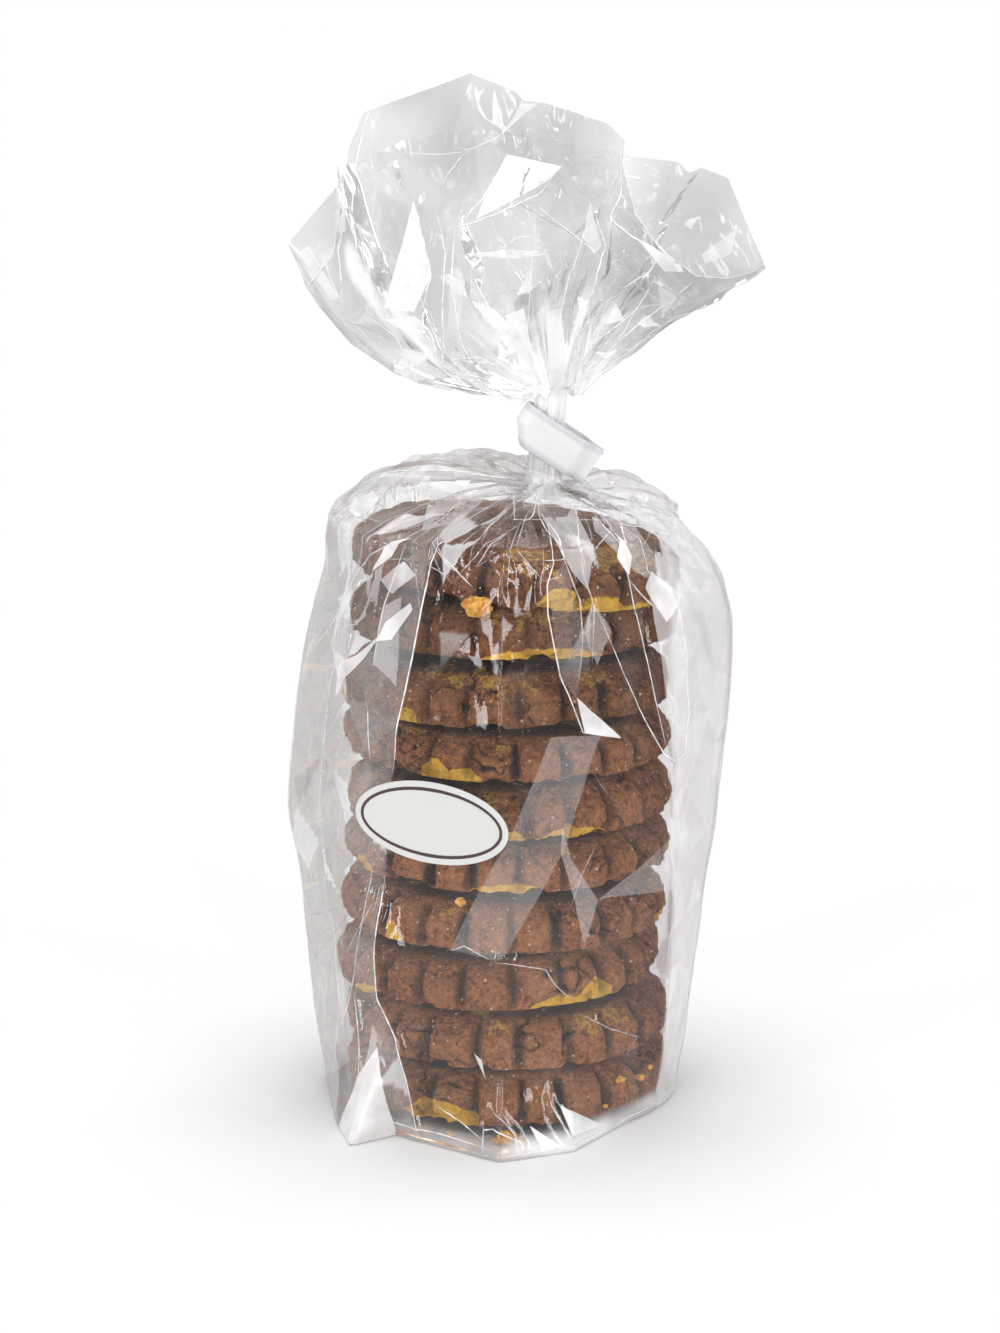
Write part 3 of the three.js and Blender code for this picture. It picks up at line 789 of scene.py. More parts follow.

# Painted highlights on creases and painted reflections on flats over the shoulder and on the front of the
# fan, as they are seen from EYE on the upright plane where y is SIGHT_PLANE: x and z there. Each has how much
# it whitens.
EYE = np.array([-1.7, -783.0, 284.0])
SIGHT_PLANE = -20
SHOULDER_CREASES = [
    (1.0, [(3.5, 143.8), (2.5, 140.4), (1.5, 135.4)]),
    (0.9, [(5.9, 143.8), (6.4, 139.4), (5.4, 134.4), (3.0, 133.4)]),
    (0.9, [(7.9, 134.4), (10.8, 130.5), (12.3, 125.0), (7.9, 125.0)]),
    (0.9, [(12.7, 142.4), (14.7, 135.4), (15.2, 128.5), (18.7, 118.5)]),
    (1.0, [(21.5, 140.4), (24.5, 131.5), (26.5, 123.5), (29.0, 118.5)]),
    (0.8, [(16.6, 140.4), (18.6, 137.4), (22.5, 131.5), (18.6, 127.5)]),
    (0.9, [(-16.5, 129.5), (-14.1, 125.5), (-8.3, 119.0)]),
    (0.7, [(-0.9, 119.5), (0.6, 122.0), (3.5, 123.3)]),
    (0.9, [(26.4, 136.4), (33.3, 128.5), (38.2, 121.5)]),
    (0.8, [(-17.5, 131.0), (-9.7, 138.4), (-3.8, 140.4), (2.5, 141.4)]),
    (0.7, [(-24.3, 130.0), (-30.3, 121.5), (-33.3, 111.4)]),
    (0.8, [(-26.2, 138.4), (-33.1, 132.4), (-35.6, 123.5)]),
]
SHOULDER_FLATS = [
    (0.48, [(3.0, 145.3), (10.7, 143.3), (18.6, 127.5), (17.2, 118.5), (13.8, 122.5), (6.9, 135.4)]),
    (0.35, [(16.6, 142.4), (24.4, 136.4), (32.3, 125.5), (34.3, 118.5), (27.5, 122.5), (18.6, 131.5)]),
    (0.4, [(-16.5, 140.4), (-3.8, 139.4), (-10.7, 133.4), (-18.5, 131.5)]),
    (0.8, [(-11.6, 144.3), (-6.8, 143.8), (-9.2, 140.9), (-11.1, 141.9)]),
    (0.5, [(-33.1, 138.4), (-25.2, 141.4), (-30.2, 135.4), (-35.1, 129.5)]),
]
FAN_CREASES = [
    (0.8, [(-28.5, 221.9), (-30.9, 214.5), (-32.3, 208.4), (-32.8, 200.6), (-31.8, 191.3), (-29.6, 180.3)]),
    (0.6, [(-10.7, 213.8), (-7.6, 212.7), (-2.2, 215.3), (2.5, 219.9), (4.8, 224.5)]),
    (0.5, [(-21.9, 213.0), (-19.7, 212.1), (-13.8, 211.8), (-8.4, 212.7)]),
    (0.5, [(-13.8, 206.0), (-10.7, 210.7), (-7.6, 212.7)]),
    (0.9, [(-0.1, 211.8), (-4.5, 203.7), (-11.1, 196.2)]),
    (0.9, [(-11.1, 196.2), (-1.4, 199.8), (6.4, 203.7), (11.3, 209.4)]),
    (0.9, [(-19.8, 202.2), (-21.7, 194.4), (-26.2, 179.5)]),
    (0.9, [(-19.8, 202.2), (-16.2, 186.6), (-18.6, 178.7)]),
    (0.8, [(-15.4, 200.6), (-13.1, 191.3), (-13.9, 180.3), (-13.5, 165.3)]),
    (0.9, [(-11.1, 196.2), (-12.0, 185.0), (-10.0, 172.4), (-7.7, 167.6)]),
    (0.7, [(-6.9, 185.0), (-2.6, 177.1), (-1.7, 169.2)]),
    (0.9, [(-7.6, 190.5), (1.0, 190.9), (9.5, 192.0)]),
    (0.6, [(-5.3, 188.9), (1.7, 194.4), (8.0, 195.2)]),
    (0.8, [(17.3, 202.2), (15.8, 194.4), (12.7, 185.0), (8.1, 166.1)]),
    (0.8, [(17.3, 202.2), (20.5, 192.8), (17.4, 181.8), (12.8, 169.2)]),
    (0.9, [(23.4, 216.1), (23.8, 203.7), (21.2, 198.3), (26.7, 194.4), (39.3, 186.2)]),
    (0.7, [(26.7, 194.4), (33.0, 190.9), (40.8, 189.7)]),
    (0.8, [(23.7, 183.4), (29.9, 187.3), (31.7, 190.9)]),
    (0.8, [(31.5, 186.6), (26.8, 178.7), (14.3, 169.2)]),
    (0.8, [(39.3, 185.0), (26.9, 175.5), (12.8, 162.9)]),
    (0.8, [(-35.6, 208.4), (-34.4, 200.6), (-35.7, 191.3), (-35.1, 181.8)]),
    (0.8, [(-46.3, 193.1), (-40.5, 188.1), (-35.9, 181.1)]),
    (0.8, [(-43.5, 194.4), (-38.9, 189.7), (-35.1, 180.3)]),
    (0.7, [(-29.6, 177.9), (-23.4, 173.2), (-19.5, 162.9)]),
    (0.8, [(-26.2, 177.1), (-19.4, 177.4), (-16.3, 174.0), (-14.0, 165.3)]),
    (0.8, [(-14.0, 165.3), (-7.7, 165.3), (0.2, 162.9)]),
    (0.7, [(-12.4, 168.4), (-6.1, 169.2), (1.8, 164.5)]),
    (0.6, [(24.2, 209.1), (32.9, 202.2), (46.9, 198.3)]),
    (0.6, [(40.5, 190.5), (48.5, 196.7), (53.3, 188.9)]),
]
FAN_FLATS = [
    (1.0, [(-0.1, 211.8), (11.3, 209.4), (7.9, 206.0), (0.9, 202.2), (-6.8, 198.3), (-4.5, 203.7)]),
    (1.0, [(-19.8, 202.2), (-16.2, 186.6), (-19.9, 178.7), (-26.2, 179.5), (-23.3, 189.7)]),
    (0.7, [(-26.2, 177.1), (-19.9, 177.8), (-16.6, 175.2), (-19.9, 173.2)]),
    (0.5, [(3.6, 224.5), (6.3, 222.2), (4.0, 220.7), (-0.6, 216.8), (1.7, 220.7)]),
    (0.5, [(17.3, 201.4), (19.7, 192.8), (18.1, 190.9), (15.8, 194.4)]),
    (0.7, [(-9.2, 190.9), (1.0, 192.0), (8.8, 190.9), (1.0, 190.0)]),
    (0.5, [(-42.0, 192.8), (-35.8, 181.8), (-37.4, 181.1), (-44.3, 191.3)]),
    (0.5, [(-36.4, 207.6), (-34.8, 206.8), (-34.1, 195.9), (-35.7, 195.2)]),
    (0.7, [(-0.6, 177.9), (3.3, 179.5), (6.5, 162.9), (4.1, 162.1)]),
    (0.7, [(8.0, 178.7), (11.2, 179.5), (12.8, 164.5), (8.9, 162.1)]),
    (0.3, [(-12.3, 186.6), (-9.2, 185.0), (-10.5, 172.4), (-12.7, 174.0)]),
    (0.5, [(26.7, 194.7), (39.3, 187.3), (33.0, 187.3)]),
    (0.4, [(40.8, 190.9), (48.5, 196.7), (47.0, 190.9), (41.6, 188.9)]),
]
CREASE_HALF, CREASE_LIFT = 0.2, 0.05
FLAT_STEP, FLAT_LIFT, FLAT_FADE = 0.8, 0.14, 0.25
LEAST_HEIGHT = 0.03


def line_distance(theta, along, radius, line):
    """How far each point of the unrolled film is from a line of (angle, height)."""
    nearest = np.full(np.broadcast_shapes(theta.shape, along.shape), np.inf)
    for (a0, h0), (a1, h1) in zip(line, line[1:]):
        px, qx = (radians(either_way(angle - a0)) * radius for angle in (theta, a1))
        py, qy = along - h0, h1 - h0
        t = np.clip((px * qx + py * qy) / (qx * qx + qy * qy + 1e-9), 0, 1)
        nearest = np.minimum(nearest, np.hypot(px - t * qx, py - t * qy))
    return nearest


def inside_flat(x, y, corners):
    """Which of the points lie inside a flat with these corners."""
    inside = np.zeros(x.shape, bool)
    for (x0, y0), (x1, y1) in zip(corners, corners[1:] + corners[:1]):
        inside ^= ((y0 > y) != (y1 > y)) & (x < (x1 - x0) * (y - y0) / (y1 - y0 + 1e-12) + x0)
    return inside


def refined(line, step):
    """The line with points no further apart than about a step."""
    line = np.asarray(line, float)
    parts = [line[:1]]
    for a, b in zip(line, line[1:]):
        count = max(1, math.ceil(np.hypot(*(b - a)) / step))
        parts.append(a + (b - a) * (np.arange(1, count + 1) / count)[:, None])
    return np.concatenate(parts)


def on_bag(points):
    """Points of (angle, height along the film) as (column, row) places on the bag's film."""
    rows = BASE_ROWS + np.interp(points[:, 1], BAG_RUN, np.arange(len(BAG_RUN)))
    return joined(film_column(points[:, 0]), rows)


def bag_line(line):
    return on_bag(refined(line, 1.0))


def on_grid(grid, places):
    """Values of a grid at fractional (column, row) places; its columns close on themselves."""
    rows, cols = grid.shape[:2]
    row = np.clip(places[:, 1], 0, rows - 1.001)
    c, r = np.floor(places[:, 0]).astype(int), np.floor(row).astype(int)
    u, v = (places[:, 0] - c)[:, None], (row - r)[:, None]
    low, high = (grid[at, c % cols] * (1 - u) + grid[at, (c + 1) % cols] * u for at in (r, r + 1))
    return low * (1 - v) + high * v


def make_film_detail(name, parts, material):
    """One piece of all these parts: each is its points, its faces and how white it is."""
    points, veil = (np.concatenate([part[k] for part in parts]) for k in (0, 2))
    firsts = np.cumsum([0] + [len(part[0]) for part in parts])
    faces = np.concatenate([part[1] + first for part, first in zip(parts, firsts)]).tolist()
    make_object(name, above_floor(points, LEAST_HEIGHT), faces, material, veil=veil)


def make_creases(name, grid, lines, material):
    """Thin ridges that lie on the film along its creases: each line is its (column, row) places, its half
    width and how white it is."""
    normals, parts = grid_normals(grid), []
    for places, half, white in lines:
        p, n = on_grid(grid, places), on_grid(normals, places)
        side = np.cross(n, np.gradient(p, axis=0))
        side /= np.linalg.norm(side, axis=1, keepdims=True) + 1e-9
        taper = np.sin(np.linspace(0.04, 0.96, len(p)) * math.pi)[:, None] ** 0.6
        out, across = p + n * CREASE_LIFT, side * half * taper
        ridge = out + n * half * 0.6 * taper
        ribbon = np.stack([out - across, ridge - across * 0.5, ridge + across * 0.5, out + across], 1)
        core, edge = white * np.minimum(1, 2 * taper[:, 0]), np.zeros(len(p))
        k = 4 * np.arange(len(p) - 1)[:, None] + np.arange(3)
        faces = np.stack([k, k + 1, k + 5, k + 4], -1).reshape(-1, 4)
        parts.append((ribbon.reshape(-1, 3), faces, np.stack([edge, core, core, edge], 1).ravel()))
    make_film_detail(name, parts, material)


def crumple_creases(edges, chance, half, white):
    """Some of a crumple's edges, as lines for make_creases: chance is how likely each place has one."""
    lines = []
    rows, cols = chance.shape
    for edge in edges:
        pick, width, shade = rng.random(3)
        a, b = np.array(edge)
        if not (1 < a[1] < rows - 2 and 1 < b[1] < rows - 2):
            continue
        if pick > min(chance[int(row), int(column) % cols] for column, row in (a, b)):
            continue
        bow = a * 0.5 + b * 0.5 + rng.uniform(-0.06, 0.06, 2) * np.hypot(*(b - a))
        t = np.linspace(0, 1, 9)[:, None]
        places = a * (1 - t) ** 2 + bow * 2 * t * (1 - t) + b * t * t
        lines.append((places, half * (0.5 + width), white * shade**1.5))
    return lines


def seen_on_plane(points):
    """Where points are seen from the front on the plane SIGHT_PLANE: x and z."""
    reach = (SIGHT_PLANE - EYE[Y]) / (points[..., Y] - EYE[Y])
    return (EYE[axis] + (points[..., axis] - EYE[axis]) * reach for axis in (X, Z))


def seen_creases(grid, front, creases):
    """The creases that are seen from the front, as lines for make_creases."""
    x, z = (field[front] for field in seen_on_plane(grid))
    row_at, column_at = np.nonzero(front)
    lines = []
    for white, fold in creases:
        away = [(x - px) ** 2 + (z - pz) ** 2 for px, pz in refined(fold, 1.2)]
        nearest = [np.argmin(square) for square in away if square.min() < 1.5]
        if len(nearest) > 3:
            places = joined(column_at[nearest], row_at[nearest]).astype(float)
            places[1:-1] = (places[:-2] + 2 * places[1:-1] + places[2:]) / 4
            lines.append((places, CREASE_HALF, white))
    return lines


def flat_patch(corners, white):
    """Points all over a flat with these corners, the triangles between them and how white its painted
    reflection is at each point: whitest at the first corner."""
    outline = refined([*corners, corners[0]], FLAT_STEP)[:-1]
    (left, low), (right, high) = outline.min(0), outline.max(0)
    x, y = np.meshgrid(np.arange(left, right, FLAT_STEP), np.arange(low, high, FLAT_STEP))
    x = x + FLAT_STEP / 2 * (np.arange(len(x)) % 2)[:, None]
    inside = inside_flat(x, y, corners)
    points = [Vector(p) for p in np.concatenate([outline, joined(x[inside], y[inside])])]
    points, _, triangles, *_ = delaunay_2d_cdt(points, [], [list(range(len(outline)))], 1, 1e-4)
    points = np.array([tuple(p) for p in points])
    away = np.hypot(*(points - np.array(corners[0])).T)
    return points, np.array([list(t) for t in triangles]), white * (1 - FLAT_FADE * away / away.max())


def flat_lift(place):
    """How far off the film a flat lies: each a little further than the last, so that none run together."""
    return FLAT_LIFT * (1 + 0.1 * place)


def seen_flats(grid, flats):
    """Painted reflections on flats that are seen from the front, laid on the film."""
    tree = BVHTree.FromPolygons(grid.reshape(-1, 3).tolist(), tube_faces(*grid.shape[:2]))
    parts = []
    for white, corners in flats:
        points, triangles, veil = flat_patch(corners, white)
        ways = joined(points[:, 0], SIGHT_PLANE, points[:, 1]) - EYE
        ways /= np.linalg.norm(ways, axis=1, keepdims=True)
        hits = [tree.ray_cast(Vector(EYE), Vector(way))[0] for way in ways]
        met = np.array([hit is not None for hit in hits])
        spots = np.array([tuple(hit or (0, 0, 0)) for hit in hits])
        ends = spots[triangles]
        longest = np.linalg.norm(ends - np.roll(ends, 1, 1), axis=2).max(1)
        kept = triangles[met[triangles].all(1) & (longest < 4 * FLAT_STEP)]
        used, kept = np.unique(kept, return_inverse=True)
        parts.append(((spots - ways * flat_lift(len(parts)))[used], kept.reshape(-1, 3), veil[used]))
    return parts


BODY_RADIUS, NECK_RADIUS = 39.6, 4.6  # the radius of the film, to turn degrees along it into lengths
NECK_FOLDS, FAN_FOLDS = 40, 84
LINE_HALF = 0.13  # half the width of a fold's white line
CLEAR_RADIUS, LID_RADIUS, LID_GAP = 38.1, 36, 0.9
# Stretches of the film round the bag, from one angle to another.
LABEL_SPAN, FRONT_SPAN, FOOT_SPAN, REAR_SPAN = (214, 270), (236, 329), (236, 350), (35, 170)
RIGHT_LAYERS, RIGHT_WING, LEFT_BRIM, RIGHT_BRIM = (328.5, 353), (353, 395), (166, 196), (338, 374)
SMOOTH_FRONT = (240, 328)


def bag_grid():
    """The shut part of the film as rows of points: its base, body and shoulder, and the foot of the neck."""
    body = body_points(FILM_ANGLES, BODY_RUN)
    base = body[0] * np.array([[[share, share, 0]] for share in (0.02, 0.35, 0.7, 0.9)])
    shoulder = shoulder_points(FILM_ANGLES, np.linspace(0, 1, SHOULDER_ROWS + 1)[1:])
    neck = [neck_points(FILM_ANGLES, share) for share in np.linspace(0, NECK_JOINT, NECK_ROWS + 1)[1:]]
    return np.concatenate([base, body, shoulder, neck])


def neck_folds(along, radius):
    """Folds that run down from the neck, some short, some long: how far they stand out, and their lines."""
    move, lines = 0, []
    for _ in range(NECK_FOLDS):
        at, low = rng.uniform(0, 360), rng.uniform(100, 152)
        low += 14 * float(within(at, 240, 330, 4))
        depth, slant, width = rng.uniform(0.6, 1.7), rng.uniform(-0.35, 0.35), rng.uniform(0.8, 1.9)
        run = smooth(along, low, low + 30)
        off = radians(np.abs(either_way(THETA - at - (along - 150) * slant))) * radius
        move = move + depth * run * np.clip(1 - off / (width * (0.35 + 0.65 * run)), 0, 1)
        line = [(at + (h - 150) * slant, h) for h in np.linspace(max(low, 106), 172, 12)]
        lines.append((bag_line(line), LINE_HALF, rng.uniform(0.15, 0.9)))
    return move, lines


def placed_creases(along, height, radius, label):
    """The listed creases and the bag's upright folds: how far they stand out, and their lines."""
    move, lines = np.zeros(height.shape), []
    for depth, white, fold in FRONT_CREASES:
        move = np.maximum(move, depth * np.exp(-line_distance(THETA, along, radius, fold) / 0.9))
        lines.append((bag_line(fold), CREASE_HALF, white))
    crease_at = np.interp(height, *np.transpose(CREASE))
    off = np.abs(either_way(THETA - crease_at))
    press = smooth(height, 0, 3) * fade(height, 128, 136)
    move = move + press * (1 - 0.75 * label) * 1.15 * np.exp(-off / 1.5)
    lines.append((bag_line([(a, h) for h, a in CREASE if h < 62]), CREASE_HALF, 0.95))
    lines.append((bag_line([(a, h) for h, a in CREASE if h > 80]), 0.24, 1.0))
    for angle, _ in FOLDS:
        if not 215 < angle < 290:
            fold = [(angle + 1.5 * math.sin(0.13 * h + angle), h) for h in np.linspace(5, 127, 30)]
            lines.append((bag_line(fold), CREASE_HALF, 0.5))
    return move, lines, crease_at


def clear_of_stack(grid, height):
    """The film pushed out where it would cut into the cookies."""
    out = np.hypot(grid[..., X], grid[..., Y])
    beside = (height < 130) & (height > 1.5) & (out < CLEAR_RADIUS)
    beside[:BASE_ROWS] = False
    grid[..., :Z] *= np.where(beside, CLEAR_RADIUS / np.maximum(out, 1e-6), 1)[..., None]
    top_middle, top_half, *_, tip, _ = COOKIES[0]
    lid = top_middle + top_half + LID_GAP - grid[..., X] * math.tan(math.radians(tip))
    over = (height >= 130) & (out < LID_RADIUS)
    grid[..., Z] = np.where(over, np.maximum(grid[..., Z], lid), grid[..., Z])
    return grid


def bag_veil(grid, along, height, crease_at, shade, glint):
    """Painted sheen for the film's reflections: more where layers lie together, or it hangs away from the
    stack.
    """
    past_crease = either_way(crease_at - THETA)
    left = smooth(past_crease, -0.5, 1.0) * fade(past_crease, 75, 95)
    right, wing = within(THETA, *RIGHT_LAYERS, 1.2), within(THETA, *RIGHT_WING, 1.2)
    veil = 0.005 + 0.03 * shade + left * (0.1 + 0.24 * shade) + right * (0.5 + 0.3 * shade)
    veil += wing * (0.14 + 0.3 * shade) + 0.10 * within(THETA, *REAR_SPAN, 10)
    veil += smooth(along, 118, 165) * (0.04 + 0.34 * shade)
    glinting = np.maximum(smooth(along, 100, 125), np.maximum(left, wing) * smooth(height, 4, 10))
    veil = np.maximum(veil, glint * glinting)
    veil += 0.03 * within(THETA, 225, 335, 8) * fade(height, 40, 85)
    foot = within(THETA, *FOOT_SPAN, 4) * fade(height, 2.0, 6.0)
    veil = np.maximum(veil, foot * (0.35 + 0.6 * smooth(noise(grid, 9.0, 41), -0.3, 0.6)))
    gathers = 0.5 + 0.5 * smooth(flat_noise(THETA / 9, along / 30, 42), -0.3, 0.4)
    veil = np.maximum(veil, 0.8 * smooth(along, 150, 166) * gathers)
    veil[:BASE_ROWS] = 0.1
    return veil


def build_bag_film(material, crease, flat, seam):
    grid = bag_grid()
    height, shape = grid[..., Z].copy(), grid.shape[:2]
    along = np.broadcast_to(np.pad(BAG_RUN, (BASE_ROWS, 0))[:, None], shape)
    radius = BODY_RADIUS - (BODY_RADIUS - NECK_RADIUS) * smooth(along, RIM, NECK_FOOT)
    # crumpled flats, the largest first
    count = len(BODY_RUN) + SHOULDER_ROWS
    part = slice(BASE_ROWS, BASE_ROWS + count)
    wide, wide_shade, wide_edges = crumple(FILM_COLUMNS, count, 13, 9)
    mid, mid_shade, mid_edges = crumple(FILM_COLUMNS, count, 30, 18)
    small, _, _ = crumple(FILM_COLUMNS, count, 80, 42)
    near_top = smooth(along[part], 96, 140)
    brims = within(THETA, *RIGHT_BRIM, 5) + within(THETA, *LEFT_BRIM, 5)
    free = 1 - 0.75 * brims * fade(along[part], 100, 118)
    free = free * (1 - 0.45 * within(THETA, *SMOOTH_FRONT, 6))
    relief = (1.5 + 1.4 * near_top * fade(along[part], 142, 160)) * wide
    relief += (0.6 + 0.6 * near_top) * mid + (0.12 + 0.16 * near_top) * small
    move, shade, glint = np.zeros(shape), np.zeros(shape), np.zeros(shape)
    move[part] = smooth(height[part], 2, 14) * (free * relief + 0.4)
    shade[part] = 0.4 * wide_shade**2 + 0.6 * mid_shade**3
    glint[part] = 0.6 * (mid_shade > 0.93)
    # fewer crumples under the flat label
    label = within(THETA, *LABEL_SPAN, 6) * smooth(height, 52, 60) * fade(height, 84, 92)
    move *= 1 - 0.93 * label
    folds, lines = neck_folds(along, radius)
    creases, more_lines, crease_at = placed_creases(along, height, radius, label)
    move = soften(move + folds + creases) * (1 - 0.9 * smooth(along, 152, 166))
    move[:BASE_ROWS] = 0
    grid = above_floor(grid + grid_normals(grid) * move[..., None], 0)
    grid = clear_of_stack(grid, height)
    front = (along > 126) & (along < 168) & (THETA > 190) & (THETA < 352)
    lines += more_lines + seen_creases(grid, front, SHOULDER_CREASES)
    veil = bag_veil(grid, along, height, crease_at, shade, glint)
    make_object("film_bag", grid, tube_faces(*shape), material, veil=veil, grey=0 * veil)
    calm = within(THETA, *FRONT_SPAN, 2) * fade(along, 112, 124)
    for edges, share, half, white in ((wide_edges, 0.5, 0.13, 0.8), (mid_edges, 0.3, 0.1, 0.9)):
        chance = share * (1 - 0.97 * calm) * (0.55 + 0.45 * smooth(along, 100, 130))
        raised = [np.array(edge) + [0, BASE_ROWS] for edge in edges]
        lines += crumple_creases(raised, chance[: part.stop], half, white)
    make_creases("film_bag_creases", grid, lines, crease)
    normals, flats = grid_normals(grid), seen_flats(grid, SHOULDER_FLATS)
    for white, corners in FRONT_FLATS:
        points, triangles, fading = flat_patch(corners, white)
        places = on_bag(points)
        on_film = on_grid(grid, places) + flat_lift(len(flats)) * on_grid(normals, places)
        flats.append((on_film, triangles, fading))
    make_film_detail("film_bag_flat_reflections", flats, flat)
    make_creases("film_seam_reflection", grid, [(bag_line(SEAM), 0.22, 1.0)], seam)


def fan_grid():
    """The rows of the spare film, from the band up, with its pleats smoothed in front and behind."""
    neck = [neck_points(FILM_ANGLES, share) for share in np.linspace(NECK_JOINT, 1, BAND_ROWS + 1)[:-1]]
    shares = np.linspace(0, 1, FAN_ROWS)
    fan = rounder = fan_points(FILM_ANGLES, shares)
    for _ in range(40):
        rounder = soften_round(rounder)
    front_and_back = smooth(np.abs(np.sin(radians(FILM_ANGLES))), 0.55, 0.8)
    pleated = front_and_back * fade(shares, 0.8, 1.0)[:, None]
    return np.concatenate([neck, fan + (rounder - fan) * pleated[..., None]])


def fan_folds(share, ends):
    """Folds that run up from the band: how far they stand out, and their lines."""
    radius = 6 + 34 * share
    move, lines = 0, []
    for _ in range(FAN_FOLDS):
        at, long, lean = rng.uniform(0, 360), rng.uniform(0.12, 0.9) ** 1.3, rng.uniform(-40, 40)
        depth, width = rng.uniform(0.4, 1.5), rng.uniform(0.8, 2.2)
        run = fade(share, 0.55 * long, long) * smooth(share, 0.0, 0.08)
        off = radians(np.abs(either_way(THETA - at - lean * share**1.5))) * radius
        move = move + depth * run * np.clip(1 - off / width, 0, 1) * (0.4 + 0.6 * ends)
        up = np.linspace(0.0, long, max(8, int(50 * long)))
        places = joined(film_column(at + lean * up**1.5), BAND_ROWS + up * (FAN_ROWS - 1))
        lines.append((places, LINE_HALF, rng.uniform(0.3, 1.0)))
    return move, lines


def fan_veil(grid, share, wide_shade, mid_shade, small_shade):
    """Painted sheen for the spare film's reflections: most in rays that flare out from the band."""
    rays = flat_noise(THETA / 7, 5 * share, 43)
    veil = 0.01 + 0.10 * wide_shade**3 + 0.12 * mid_shade**4 + 0.05 * small_shade**3
    veil += 0.42 * fade(share, 0.0, 0.32)
    veil = np.maximum(veil, 0.75 * (mid_shade > 0.94) * fade(share, 0.5, 0.8))
    veil = np.maximum(veil, 0.95 * smooth(rays, 0.0, 0.45) * fade(share, 0.12, 0.5))
    veil = np.maximum(veil, 0.7 * fade(share, 0.0, 0.08))
    x, z = seen_on_plane(grid)
    x, z = x - NECK_HIGH[X], z - NECK_HIGH[Z]
    spread, away = np.degrees(np.arctan2(x, z)), np.hypot(x, z)
    flare = flat_noise(spread / 7, away / 14, 46) + 0.4 * flat_noise(spread / 2.5, away / 9, 47)
    flare = smooth(flare, -0.35, 0.35) * fade(away, 10, 34) * fade(np.abs(spread + 5), 35, 75)
    veil = np.maximum(veil, 0.92 * flare * ((THETA > 190) & (THETA < 350)))
    ear = within(THETA, 176, 216, 4) * smooth(share, 0.35, 0.55)
    return np.maximum(veil, 0.75 * ear * smooth(rays, 0.05, 0.35))


def fan_grey(grid, share):
    """How grey the spare film looks: its tint and clouds of painted shade, less so near the band and where it
    is folded.
    """
    shade_clouds = 0.8 + layered(grid, 44, (0.4, 17.0), (0.25, 8.0))
    folded = np.maximum(0.5 * within(THETA, 172, 220, 8), 0.35 * within(THETA, 300, 345, 8))
    grey = within(THETA, 160, 400, 12) * shade_clouds * (0.2 + 0.8 * smooth(share, 0.12, 0.5))
    return np.clip(grey * (1 - folded * smooth(share, 0.2, 0.5)), 0, 1.25)


def build_fan_film(material, crease, flat):
    grid = fan_grid()
    rows = len(grid)
    share = np.pad(np.linspace(0, 1, FAN_ROWS), (BAND_ROWS, 0))[:, None]
    wide, wide_shade, wide_edges = crumple(FILM_COLUMNS, rows, 16, 5)
    mid, mid_shade, mid_edges = crumple(FILM_COLUMNS, rows, 38, 12)
    small, small_shade, _ = crumple(FILM_COLUMNS, rows, 96, 30)
    ends = 0.3 + 0.7 * np.abs(np.sin(radians(THETA)))
    crumples = smooth(share, 0.02, 0.6) * (3.0 * wide + 1.2 * mid + 0.32 * small) * ends
    folds, lines = fan_folds(share, ends)
    grid = grid + grid_normals(grid) * soften(crumples + folds)[..., None]
    veil, grey = fan_veil(grid, share, wide_shade, mid_shade, small_shade), fan_grey(grid, share)
    make_object("film_fan", grid, tube_faces(rows, FILM_COLUMNS), material, veil=veil, grey=grey)
    lines += seen_creases(grid, (THETA > 184) & (THETA < 356) & (share > 0.02), FAN_CREASES)
    for start, end, white in ((160, 385, 0.7), (385, 520, 0.25)):
        edge = film_column(np.linspace(start, end, 240))
        edge = np.where(edge < film_column(start) - 1, edge + FILM_COLUMNS, edge)
        lines.append((joined(edge, rows - 1.0), 0.14, white))
    for edges, part, half, white in ((wide_edges, 0.4, 0.15, 0.9), (mid_edges, 0.16, 0.1, 0.95)):
        chance = np.broadcast_to(part * (0.25 + 0.75 * fade(share, 0.35, 0.8)), veil.shape)
        lines += crumple_creases(edges, chance, half, white)
    make_creases("film_fan_creases", grid, lines, crease)
    make_film_detail("film_fan_flat_reflections", seen_flats(grid, FAN_FLATS), flat)


# ------------------------------------------------------------------ the clip band and the label

BAND_LENGTH, BAND_WIDTH, BAND_THICKNESS, BAND_HALF_DEPTH = 20, 9, 0.6, 3.5
BAND_TILT, BAND_SLANT = 33, 0.35
BAND_CENTRE = np.array([10.3, 0, 147.3])
LEAF_GAP = 0.12  # between the middle and each leaf, where the two meet
LEAVES_PART, LEAVES_OPEN = 8, 5  # where the leaves leave each other, and where they are furthest apart
WIRE_INSET, WIRE_RADIUS, RIB_HALF, RIB_SHARE = 0.9, 0.16, 0.45, 0.38
EDGE_ROUNDING = 0.3


def band_path():
    """The strip's path round the neck, seen along its width."""
    half, depth, leaf = BAND_LENGTH / 2, BAND_HALF_DEPTH - BAND_THICKNESS / 2, BAND_THICKNESS / 2 + LEAF_GAP
    left = -half + BAND_HALF_DEPTH
    path = [(x, -leaf) for x in stations(half, (LEAVES_PART, 13))]
    for t in stations(0, (1, 13))[1:]:
        path.append((LEAVES_PART + (LEAVES_OPEN - LEAVES_PART) * t, -leaf - (depth - leaf) * smooth(t, 0, 1)))
    path += [(x, -depth) for x in stations(LEAVES_OPEN, (left, 17))[1:]]
    for turn in stations(-90, (-270, 23))[1:]:
        path.append((left + depth * math.cos(math.radians(turn)), depth * math.sin(math.radians(turn))))
    return np.array(path + [(x, -y) for x, y in path[::-1] if x > left + 1e-6])


